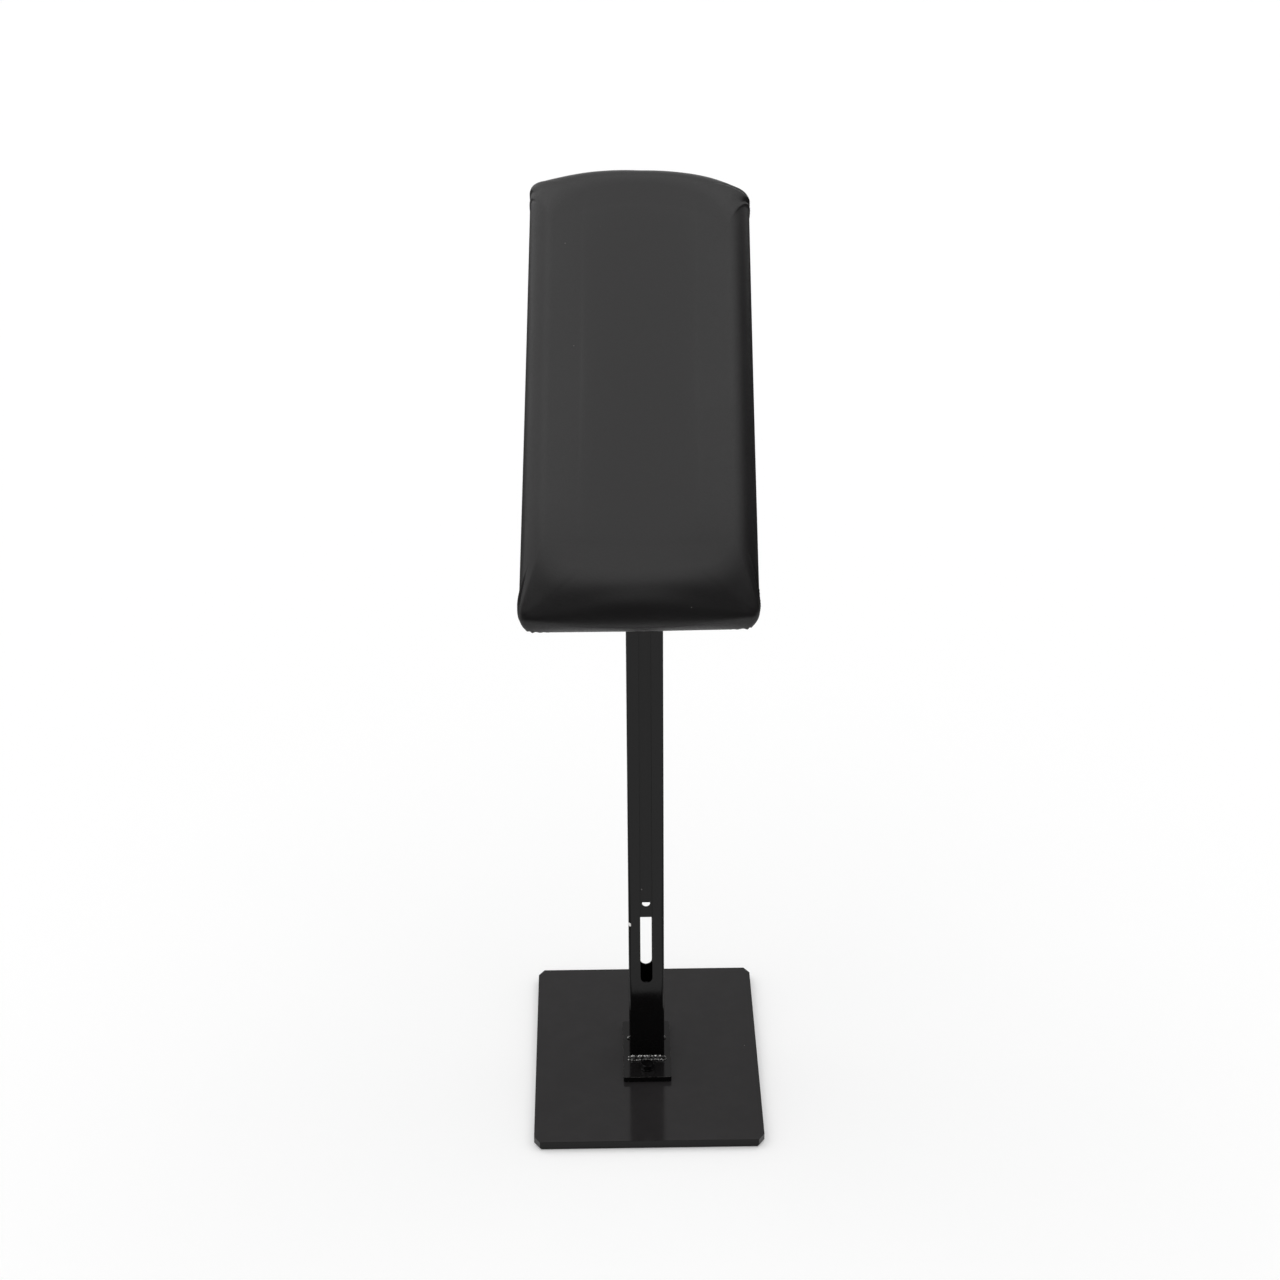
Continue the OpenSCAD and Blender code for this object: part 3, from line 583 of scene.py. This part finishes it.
# The pad's form, as in part.scad
PAD_W, PAD_L, PAD_T = 174 * MM, 402 * MM, 54 * MM
CROWN = 11 * MM
ROLL_W, ROLL_L = 18 * MM, 26 * MM
UNDER_DRAW, SIDE_DRAW, END_SWELL = 4.5 * MM, 0.5 * MM, 6.5 * MM
PAD_CORNER_R = 6.5 * MM
HEM_R, LEATHER_T, DUST_T, SEAT_GAP, DUST_GAP = 2.5 * MM, 1.2 * MM, 0.6 * MM, 0.05 * MM, 0.3 * MM
BOARD_T = 12 * MM
BOARD_W = PAD_W - 2 * (LEATHER_T + UNDER_DRAW + SEAT_GAP)
BOARD_L = PAD_L - 2 * (LEATHER_T + UNDER_DRAW + SEAT_GAP)
BOARD_CORNER_R = 10 * MM
PLATE_W, PLATE_CLEAR = 80 * MM, 13.2 * MM
TURN_IN = (BOARD_W - PLATE_W) / 2 - PLATE_CLEAR
EDGE_H = PAD_T - CROWN
WIDEST_H = PAD_T * 0.42

# What the cover's mesh adds: a softer shoulder, and rings that close it over the board
SHOULDER_R = 23 * MM
SEAT_H = LEATHER_T - 0.02 * MM
BOARD_TOP = LEATHER_T + BOARD_T + 2 * SEAT_GAP
CLOSING_RINGS = 2
CORNER_STEPS, STEPS_X, STEPS_Y = 7, 38, 90
ACROSS, ALONG = STEPS_X + 2 * CORNER_STEPS, STEPS_Y + 2 * CORNER_STEPS
AROUND = 2 * (ACROSS + ALONG)
ROLL_STEPS, LOWER_STEPS, HEM_STEPS, UNDER_STEPS = 9, 8, 3, 8
CORNER_CROWDING = 0.3
SKIN_GROWTH = 1.6


def bow(place):
    return 1 - place * place


def crowded(j, steps):
    """Places from -1 to 1 along a side, closer together near its ends."""
    place = 2 * j / steps - 1
    return place * (1 + CORNER_CROWDING * (1 - place * place))


def pad_outline(hw, hl, r, share):
    """Plan outline of the pad, anticlockwise from 45 degrees round its corner at +X and -Y.
    share is how much of the sides' draw and the ends' swell it has."""
    cx, cy = hw - r, hl - r
    points = []

    def arc(x, y, start):
        for j in range(CORNER_STEPS):
            a = math.radians(start + 45 * j / CORNER_STEPS)
            points.append((x + r * math.cos(a), y + r * math.sin(a)))

    for sign in (1, -1):
        start = 0 if sign > 0 else 180
        arc(sign * cx, -sign * cy, start - 45)
        for j in range(STEPS_Y):
            place = crowded(j, STEPS_Y)
            points.append((sign * (hw - SIDE_DRAW * share * bow(place)), sign * place * cy))
        arc(sign * cx, sign * cy, start)
        arc(sign * cx, sign * cy, start + 45)
        for j in range(STEPS_X):
            place = crowded(j, STEPS_X)
            points.append((-sign * place * cx, sign * (hl + END_SWELL * share * bow(place))))
        arc(-sign * cx, sign * cy, start + 90)
    return points


def crown_height(x):
    return CROWN * (1 - (2 * x / PAD_W) ** 2)


def pad_rings(skin):
    """Rings of the pad's outer face, from the top of its roll down the side, in under the board and over it.
    skin is how far inside that face the soft part starts. The board holds the rings from fixed_from on."""
    rings = []
    for i in range(ROLL_STEPS + 1):
        a = math.radians(90 - 90 * i / ROLL_STEPS)
        inset = 1 - math.cos(a)
        h = WIDEST_H + (EDGE_H - skin - WIDEST_H) * math.sin(a)
        plan = pad_outline(PAD_W / 2 - skin - ROLL_W * inset, PAD_L / 2 - skin - ROLL_L * inset,
                           PAD_CORNER_R + SHOULDER_R * inset, 1)
        rings.append([(x, y, h + math.sin(a) * crown_height(x)) for x, y in plan])
    for i in range(1, LOWER_STEPS + 1):
        h = WIDEST_H + (HEM_R - WIDEST_H) * i / LOWER_STEPS
        up = h / WIDEST_H
        inset = UNDER_DRAW * (1 - up) ** 2 + skin * min(1, SKIN_GROWTH * up)
        plan = pad_outline(PAD_W / 2 - inset, PAD_L / 2 - inset, PAD_CORNER_R, up)
        rings.append([(x, y, h) for x, y in plan])
    low_inset = UNDER_DRAW * (1 - HEM_R / WIDEST_H) ** 2
    for i in range(1, HEM_STEPS + 1):
        a = math.radians(90 * i / HEM_STEPS)
        turned = HEM_R * (1 - math.cos(a))
        inset = low_inset + turned
        plan = pad_outline(PAD_W / 2 - inset, PAD_L / 2 - inset, PAD_CORNER_R - turned, 0)
        rings.append([(x, y, HEM_R * (1 - math.sin(a))) for x, y in plan])
    fixed_from = len(rings) - 1
    start = low_inset + HEM_R
    end = (PAD_W - BOARD_W) / 2 + TURN_IN
    for i in range(1, UNDER_STEPS + 1):
        inset = start + (end - start) * i / UNDER_STEPS
        plan = pad_outline(PAD_W / 2 - inset, PAD_L / 2 - inset, PAD_CORNER_R - HEM_R, 0)
        rings.append([(x, y, 0) for x, y in plan])
    rings.append([(x, y, SEAT_H) for x, y in plan])
    board_edge = pad_outline(BOARD_W / 2, BOARD_L / 2, BOARD_CORNER_R, 0)
    rings += [[(x, y, h) for x, y in board_edge] for h in (SEAT_H, BOARD_TOP)]
    return rings, fixed_from


def around(ring):
    """Number of each point's nearest corner, and its distance from the middle of that corner.
    Corners 0 to 3 are near right, far right, far left and near left. Distances grow anticlockwise."""
    run = [0.0]
    for a, b in zip(ring, ring[1:] + ring[:1]):
        run.append(run[-1] + math.dist(a[:2], b[:2]))
    whole = run.pop()
    marks = (0, ALONG, ALONG + ACROSS, 2 * ALONG + ACROSS)
    found = []
    for place in run:
        far = [(place - run[mark] + whole / 2) % whole - whole / 2 for mark in marks]
        corner = min(range(4), key=lambda k: abs(far[k]))
        found.append((corner, far[corner]))
    return found


def pad_mesh(skin):
    """The cover as one closed mesh: a grid over the top, and rings down the side and round the board.
    With it come the points held by the board and by the hem, each ring's point numbers, and the rings."""
    rings, fixed_from = pad_rings(skin)
    bm = bmesh.new()
    border = rings[0]
    north_west, south_west = ALONG + ACROSS, 2 * ALONG + ACROSS
    east = border[:ALONG + 1]
    north = [border[north_west - a] for a in range(ACROSS + 1)]
    west = [border[south_west - b] for b in range(ALONG + 1)]
    south = [border[(south_west + a) % AROUND] for a in range(ACROSS + 1)]
    grid = {}
    ring_verts = [[bm.verts.new(p) for p in ring] for ring in rings]
    for b in range(ALONG + 1):
        grid[ACROSS, b] = ring_verts[0][b]
        grid[0, b] = ring_verts[0][south_west - b]
    for a in range(ACROSS + 1):
        grid[a, ALONG] = ring_verts[0][north_west - a]
        grid[a, 0] = ring_verts[0][(south_west + a) % AROUND]
    for a in range(1, ACROSS):
        u = (south[a][0] - south[0][0]) / (south[ACROSS][0] - south[0][0])
        for b in range(1, ALONG):
            v = (east[b][1] - east[0][1]) / (east[ALONG][1] - east[0][1])
            x, y = (
                (1 - u) * west[b][k] + u * east[b][k] + (1 - v) * south[a][k] + v * north[a][k]
                - (1 - u) * (1 - v) * south[0][k] - u * (1 - v) * south[ACROSS][k]
                - (1 - u) * v * north[0][k] - u * v * north[ACROSS][k]
                for k in (0, 1)
            )
            grid[a, b] = bm.verts.new((x, y, EDGE_H - skin + crown_height(x)))
    for a in range(ACROSS):
        for b in range(ALONG):
            bm.faces.new((grid[a, b], grid[a + 1, b], grid[a + 1, b + 1], grid[a, b + 1]))
    for upper, lower in zip(ring_verts, ring_verts[1:]):
        for i in range(AROUND):
            j = (i + 1) % AROUND
            bm.faces.new((upper[i], lower[i], lower[j], upper[j]))
    bm.faces.new(ring_verts[-1][::-1])
    crease = bm.edges.layers.float.new("crease_edge")
    for ring in ring_verts[-1 - CLOSING_RINGS:]:
        for a, b in zip(ring, ring[1:] + ring[:1]):
            bm.edges.get((a, b))[crease] = 1.0
    bm.verts.index_update()
    fixed = [v.index for ring in ring_verts[fixed_from:] for v in ring]
    hem = [v.index for ring in ring_verts[fixed_from - HEM_STEPS:fixed_from] for v in ring]
    numbers = [[v.index for v in ring] for ring in ring_verts]
    return bm, fixed, hem, numbers, rings


SOFT_START = 1.6 * MM
SWELL_CAP = 1.6 * MM
CALMING, OVERALL = 130, 500
CALM_KEPT, CALM_TAKEN = 0.4, 0.6
OVERALL_KEPT = 0.1
HEM_HOLD = 0.6
CLOTH_FRAMES = 20
CLOTH = {
    "quality": 8,
    "mass": 0.25,
    "tension_stiffness": 25,
    "compression_stiffness": 25,
    "shear_stiffness": 12,
    "bending_stiffness": 8,
    "air_damping": 2,
    "use_pressure": True,
    "uniform_pressure_force": 4,
    "vertex_group_mass": "held",
}


def swell(piece, fixed, hem):
    """Lets the cover fill under pressure as cloth, held at the board. Gives where its points went."""
    pins = piece.vertex_groups.new(name=CLOTH["vertex_group_mass"])
    pins.add(fixed, 1.0, "REPLACE")
    pins.add(hem, HEM_HOLD, "REPLACE")
    cloth = piece.modifiers.new("cloth", "CLOTH")
    for name, value in CLOTH.items():
        setattr(cloth.settings, name, value)
    cloth.settings.effector_weights.gravity = 0
    cloth.collision_settings.use_collision = False
    cloth.collision_settings.use_self_collision = False
    cloth.point_cache.frame_start, cloth.point_cache.frame_end = 1, CLOTH_FRAMES
    for number in range(1, CLOTH_FRAMES + 1):
        scene.frame_set(number)
    shape = piece.evaluated_get(bpy.context.evaluated_depsgraph_get()).data
    moved = np.array([v.co[:] for v in shape.vertices])
    piece.modifiers.remove(cloth)
    piece.vertex_groups.remove(pins)
    scene.frame_set(1)
    return moved


def calmed(mesh, offset, fixed, rounds):
    """Offsets of a mesh's points, evened out over their neighbours, as taut leather pulls wrinkles flat."""
    ends = np.array([e.vertices[:] for e in mesh.edges])
    tails, heads = np.concatenate((ends, ends[:, ::-1])).T
    degree = np.bincount(heads, minlength=len(offset))
    for _ in range(rounds):
        near = np.stack([np.bincount(heads, offset[tails, k], len(offset)) / degree for k in range(3)], 1)
        offset = CALM_KEPT * offset + CALM_TAKEN * near
        offset[fixed] = 0
    return offset


# Folds at the corners: corner, ends of the fold as (distance round the corner, height), width and depth,
# in millimetres. A fold is a crease with a small ridge beside it.
FOLDS = (
    (3, (-19, 35), (-5, 15), 1.7, 1.8),
    (3, (-12, 29), (-3, 11), 1.3, 0.9),
    (3, (-24, 12), (-10, 5), 1.8, 0.7),
    (0, (28, 36), (13, 16), 1.7, 1.5),
    (0, (19, 33), (8, 12), 1.4, 1.2),
    (0, (19, 11), (8, 4), 1.8, 0.6),
    (1, (5, 41), (-9, 20), 1.6, 1.6),
    (1, (-3, 41), (-16, 18), 1.6, 1.4),
    (1, (5, 12), (2, 4), 2.4, 0.7),
    (2, (3, 38), (12, 20), 1.5, 0.7),
    (2, (13, 36), (23, 16), 1.5, 0.6),
    (2, (-5, 12), (-2, 4), 2.4, 0.7),
)
FOLD_RUN_OUT, FOLD_FADE = 0.15, 0.8
RIDGE_AT, RIDGE_SHARE = 1.5, 0.8
GATHERS = 5
GATHER_STEP, GATHER_HEIGHT, GATHER_DEPTH, GATHER_BIAS = 5.5, 4.5, 0.6, 0.4
GATHER_DRIFT, GATHER_DRIFT_RUN, GATHER_SEED_STEP = 0.6, 9, 3.7
# The note of a point that lies outside the rings. A point between two corners gets a note between theirs.
NOWHERE = -100.0
NOTE_SLACK = 0.01


def fold_push(corner, u, h):
    """How far the folds push the leather out here. Distances and heights in millimetres."""
    push = 0.0
    for at, (u0, h0), (u1, h1), width, depth in FOLDS:
        if at != corner:
            continue
        along = Vector((u1 - u0, h1 - h0))
        share = Vector((u - u0, h - h0)).dot(along) / along.length_squared
        if -FOLD_RUN_OUT < share < 1 + FOLD_RUN_OUT:
            off = (u - u0) * along.y / along.length - (h - h0) * along.x / along.length
            place = min(1, max(0, (share + FOLD_RUN_OUT) / (1 + 2 * FOLD_RUN_OUT)))
            taper = math.sin(math.pi * place) ** FOLD_FADE
            side = off / width
            ridge = RIDGE_SHARE * math.exp(-((side - RIDGE_AT) ** 2))
            push += depth * taper * (ridge - math.exp(-side * side))
    return push


def gather_push(corner, u, h):
    """How far the small gathers push it, where the leather turns under the board at a corner."""
    reach = math.exp(-((u / (GATHERS * GATHER_STEP / 2)) ** 2))
    low = math.exp(-max(0, h) / GATHER_HEIGHT)
    drift = noise.noise(Vector((u / GATHER_DRIFT_RUN, corner * GATHER_SEED_STEP, 0)))
    phase = u / GATHER_STEP + GATHER_DRIFT * drift
    return GATHER_DEPTH * reach * low * (math.cos(2 * math.pi * phase) - GATHER_BIAS)


# How the hand-cut cover leaves the pad's nominal form.
# Its ends stand out by so many millimetres, less towards the right by the skew per half width.
# The far end has a lobe on each side, and is drawn in at its right.
FAR_LONGER, FAR_SKEW, FAR_LOBES = 5.4, 1.4, 1.2
FAR_DRAW, FAR_DRAW_FROM, FAR_DRAW_SPAN = 6.5, 0.55, 0.45
NEAR_LONGER, NEAR_SKEW = 2.4, 2.0
WIDER = 0.013
# Lower at its corners: end, depth and reach
DROPS = ((-1, 9 * MM, 80 * MM), (1, 3 * MM, 45 * MM))
DROP_INSET_X, DROP_INSET_Y = 6 * MM, 8 * MM


def drawn(point):
    """How far the cover is drawn from the nominal form at a point."""
    x, y, h = point
    u, v = x / (PAD_W / 2), y / (PAD_L / 2)
    far = FAR_LONGER - FAR_SKEW * u + FAR_LOBES * abs(math.sin(math.pi * u))
    far -= FAR_DRAW * max(0, (u - FAR_DRAW_FROM) / FAR_DRAW_SPAN) ** 2
    near = NEAR_LONGER - NEAR_SKEW * u
    along = (far if v > 0 else -near) * v * v * MM
    above = min(1, max(0, (h - WIDEST_H) / (EDGE_H - WIDEST_H)))
    drop = 0.0
    for end, depth, reach in DROPS:
        for side in (-1, 1):
            off = math.hypot(x - side * (PAD_W / 2 - DROP_INSET_X), y - end * (PAD_L / 2 - DROP_INSET_Y))
            drop += depth * max(0, 1 - off / reach) ** 2
    return Vector((WIDER * x, along, -above * drop))


def swollen(piece, wanted, fixed, hem):
    """The wanted places of the cover's points, moved by its swelling as cloth once that is evened out."""
    mesh = piece.data
    slack_bm = pad_mesh(SOFT_START)[0]
    for vert, slack in zip(mesh.vertices, slack_bm.verts):
        vert.co = slack.co
    slack_bm.free()
    offset = calmed(mesh, swell(piece, fixed, hem) - wanted, fixed, CALMING)
    offset -= (1 - OVERALL_KEPT) * calmed(mesh, offset, fixed, OVERALL)
    far = np.linalg.norm(offset, axis=1, keepdims=True)
    offset *= SWELL_CAP * np.tanh(far / SWELL_CAP) / np.maximum(far, 1e-9)
    return wanted + offset


def make_cover():
    bm, fixed, hem, numbers, rings = pad_mesh(0)
    piece = new_piece("leather_cover", bm, "pad_cover", "pad_foam")
    mesh = piece.data
    wanted = np.array([v.co[:] for v in mesh.vertices])
    wanted = swollen(piece, wanted, fixed, hem)

    # The drawing fades out under the board
    loose = np.ones(len(mesh.vertices))
    first_under = len(numbers) - 1 - CLOSING_RINGS - UNDER_STEPS
    for k in range(first_under, len(numbers)):
        loose[numbers[k]] = 1 - min(1, (k - first_under) / (UNDER_STEPS - 1))
    for vert, place, share in zip(mesh.vertices, wanted, loose):
        vert.co = Vector(place) + drawn(place) * float(share)

    # Notes on the rings' points tell fold_leather where they are
    places = around(rings[ROLL_STEPS])
    notes = {name: np.full(len(mesh.vertices), NOWHERE) for name in ("corner", "run", "high")}
    for k, ring in enumerate(numbers[:-1 - CLOSING_RINGS]):
        notes["corner"][ring] = [corner for corner, _ in places]
        notes["run"][ring] = [run / MM for _, run in places]
        notes["high"][ring] = [point[2] / MM for point in rings[k]]
    for name, values in notes.items():
        mesh.attributes.new(name, "FLOAT", "POINT").data.foreach_set("value", values)
    finer = piece.modifiers.new("finer", "SUBSURF")
    finer.levels = finer.render_levels = 1
    smooth = bpy.data.meshes.new_from_object(piece.evaluated_get(bpy.context.evaluated_depsgraph_get()))
    piece.modifiers.remove(finer)
    piece.data = smooth
    fold_leather(smooth, notes)
    smooth.transform(AT_PAD)
    return piece


def fold_leather(mesh, names):
    """Presses the corner folds and the gathers into the subdivided cover, by the notes of these names."""
    notes = []
    for name in names:
        values = np.zeros(len(mesh.vertices))
        mesh.attributes[name].data.foreach_get("value", values)
        notes.append(values)
        mesh.attributes.remove(mesh.attributes[name])
    out = [vert.normal.copy() for vert in mesh.vertices]
    for vert, corner, run, high in zip(mesh.vertices, *notes):
        number = round(corner)
        if number >= 0 and abs(corner - number) < NOTE_SLACK:
            push = fold_push(number, run, high) + gather_push(number, run, high)
            vert.co += out[vert.index] * push * MM


cover = make_cover()

FELT_STEPS_X, FELT_STEPS_Y = 40, 120
FELT_TUCK = 0.1 * MM
FELT_WAVE, FELT_WAVE_RUN = 0.12 * MM, 18 * MM
# The waves grow towards the rims with these powers of the place across and along the felt
FELT_LOOSE_X, FELT_LOOSE_Y = 6, 12


def make_dust_cover():
    """Thin felt over the board's underside, flat in the middle, with small waves between its staples."""
    half_w, half_l = BOARD_W / 2 - TURN_IN - DUST_GAP, BOARD_L / 2 - TURN_IN - DUST_GAP
    r = BOARD_CORNER_R
    bm = bmesh.new()
    layers = []
    for top in (0, 1):
        rows = []
        for b in range(FELT_STEPS_Y + 1):
            y = half_l * (2 * b / FELT_STEPS_Y - 1)
            past = max(0, abs(y) - (half_l - r))
            reach = half_w - r + math.sqrt(max(0, r * r - past * past))
            row = []
            for a in range(FELT_STEPS_X + 1):
                x = reach * (2 * a / FELT_STEPS_X - 1)
                free = min(abs(x) / half_w, 1) ** FELT_LOOSE_X + (abs(y) / half_l) ** FELT_LOOSE_Y
                wave = FELT_WAVE * free * (1 + math.sin(2 * math.pi * (x + y) / FELT_WAVE_RUN))
                z = LEATHER_T - FELT_TUCK if top else LEATHER_T - DUST_T + wave
                row.append(bm.verts.new((x, y, z)))
            rows.append(row)
        layers.append(rows)
    for top, rows in enumerate(layers):
        for b in range(FELT_STEPS_Y):
            for a in range(FELT_STEPS_X):
                quad = (rows[b][a], rows[b][a + 1], rows[b + 1][a + 1], rows[b + 1][a])
                bm.faces.new(quad if top else quad[::-1])
    rims = [rows[0][:-1] + [row[-1] for row in rows[:-1]]
            + rows[-1][:0:-1] + [row[0] for row in rows[:0:-1]]
            for rows in layers]
    for i in range(len(rims[0])):
        j = (i + 1) % len(rims[0])
        bm.faces.new((rims[0][i], rims[0][j], rims[1][j], rims[1][i]))
    piece = new_piece("felt_dust_cover", bm, "dust_cover")
    piece.data.transform(AT_PAD)


make_dust_cover()

# Pieces that keep the solids' own shape
for name in ("pad_board", "tee_nuts", "cover_staples", "dust_staples"):
    data = frame["nodes"][name].data
    data.materials.clear()
    data.materials.append(FINISHES[SLOT_OF[name]])

# Stage
FLOOR_HALF, FLOOR_Z = 9.0, -0.1 * MM
FLOOR_SHADE = 0.8
SKY_HIGH, SKY_LOW = 0.44, 0.8
SIDE_GLOW, FRONT_GLOW = 0.62, 0.3
SUN, SUN_SPREAD, SUN_TURN = 1.15, math.radians(85), (math.radians(-6), math.radians(-4), 0)
DARK, DIM, GREY = 0.02, 0.05, 0.35


def upright(start, end, low, high):
    """Corners of a standing card between two places on the floor."""
    return (*start, low), (*end, low), (*end, high), (*start, high)


def lying(x0, x1, y0, y1, z):
    """Corners of a level card."""
    return (x0, y0, z), (x1, y0, z), (x1, y1, z), (x0, y1, z)


# Cards that only reflections see, for the dark bands in the photograph: name, shade and corners
CARDS = (
    ("card_right", DARK, upright((1.9, -1.4), (1.9, 2.4), 0.05, 1.55)),
    ("card_right_near", DARK, upright((1.9, -1.4), (1.9, -0.1), 1.55, 2.0)),
    ("card_left_near", DARK, upright((-1.9, -1.4), (-1.9, -0.2), 0.8, 2.4)),
    ("card_front_low", DARK, lying(-2.2, 2.2, -2.4, -0.24, 0.40)),
    ("card_right_low", DARK, lying(0.13, 2.6, 0.2, 3.0, 0.30)),
    ("card_left_foot", GREY, lying(-1.2, -0.11, -0.24, 0.6, 0.01)),
    ("card_right_foot", GREY, lying(0.11, 1.2, -0.24, 0.6, 0.01)),
    ("card_front_left", DARK, upright((-2.0, -0.5), (-0.7, -2.0), 0.05, 2.1)),
    ("card_front_right", DARK, upright((2.0, -0.5), (0.7, -2.0), 0.05, 2.1)),
    ("card_left_low", DIM, lying(-2.6, -0.13, 0.2, 3.0, 0.30)),
)


def quad_object(name, corners, material):
    mesh = bpy.data.meshes.new(name)
    mesh.from_pydata(corners, [], [(0, 1, 2, 3)])
    mesh.materials.append(material)
    made = bpy.data.objects.new(name, mesh)
    scene.collection.objects.link(made)
    return made


def floor_finish():
    """A matt floor that camera, glossy and transmission rays see as the photograph's white."""
    material = bpy.data.materials.new("floor")
    material.use_nodes = True
    tree = material.node_tree
    tree.nodes.remove(tree.nodes["Principled BSDF"])
    path = tree.nodes.new("ShaderNodeLightPath").outputs
    either = math_node(tree, "MAXIMUM", path["Is Camera Ray"], path["Is Glossy Ray"])
    any_of = math_node(tree, "MAXIMUM", either, path["Is Transmission Ray"])
    glow = tree.nodes.new("ShaderNodeEmission")
    tree.links.new(math_node(tree, "MULTIPLY", any_of, 1 - FLOOR_SHADE), glow.inputs["Strength"])
    matt = tree.nodes.new("ShaderNodeBsdfDiffuse")
    matt.inputs["Color"].default_value = (FLOOR_SHADE, FLOOR_SHADE, FLOOR_SHADE, 1)
    both = tree.nodes.new("ShaderNodeAddShader")
    tree.links.new(matt.outputs[0], both.inputs[0])
    tree.links.new(glow.outputs[0], both.inputs[1])
    tree.links.new(both.outputs[0], tree.nodes["Material Output"].inputs["Surface"])
    return material


def make_cards():
    for name, shade, corners in CARDS:
        material = bpy.data.materials.new(name)
        material.use_nodes = True
        shader = material.node_tree.nodes["Principled BSDF"]
        shader.inputs["Base Color"].default_value = (shade, shade, shade, 1)
        shader.inputs["Roughness"].default_value = 1
        card = quad_object(name, corners, material)
        card.visible_camera = card.visible_diffuse = card.visible_shadow = False


def make_sky():
    """A plain sky, brighter near the horizon, with a soft light on each side and a weak one in front."""
    world = bpy.data.worlds.new("world")
    scene.world = world
    world.use_nodes = True
    tree = world.node_tree
    background = tree.nodes["Background"]
    background.inputs["Color"].default_value = (1, 1, 1, 1)
    split = tree.nodes.new("ShaderNodeSeparateXYZ")
    tree.links.new(tree.nodes.new("ShaderNodeTexCoord").outputs["Generated"], split.inputs[0])

    def ramp(axis, low, high, to_low, to_high):
        made = tree.nodes.new("ShaderNodeMapRange")
        made.interpolation_type = "SMOOTHSTEP"
        for key, value in zip(("From Min", "From Max", "To Min", "To Max"), (low, high, to_low, to_high)):
            made.inputs[key].default_value = value
        tree.links.new(split.outputs[axis], made.inputs["Value"])
        return made.outputs[0]

    # The left light reaches lower than the right one
    left = math_node(tree, "MULTIPLY", ramp("X", -0.25, -0.55, 0, SIDE_GLOW), ramp("Z", 0.15, 0.4, 0, 1))
    right = math_node(tree, "MULTIPLY", ramp("X", 0.25, 0.5, 0, SIDE_GLOW), ramp("Z", 0.42, 0.6, 0, 1))
    sides = math_node(tree, "MULTIPLY", math_node(tree, "ADD", left, right), ramp("Y", -0.2, 0.12, 0, 1))
    front = math_node(tree, "MULTIPLY", ramp("Y", -0.3, -0.7, 0, FRONT_GLOW), ramp("Z", 0.1, 0.3, 0, 1))
    level = math_node(tree, "ADD", ramp("Z", 0.08, 0.35, SKY_LOW, SKY_HIGH), front)
    tree.links.new(math_node(tree, "ADD", sides, level), background.inputs["Strength"])


def make_stage():
    corners = lying(-FLOOR_HALF, FLOOR_HALF, -FLOOR_HALF, FLOOR_HALF, FLOOR_Z)
    floor = quad_object("floor", corners, floor_finish())
    make_cards()
    make_sky()
    data = bpy.data.lights.new("overhead", "SUN")
    data.energy = SUN
    data.angle = SUN_SPREAD
    sun = bpy.data.objects.new("overhead", data)
    sun.rotation_euler = SUN_TURN
    scene.collection.objects.link(sun)


make_stage()
scene.view_settings.view_transform = "Standard"
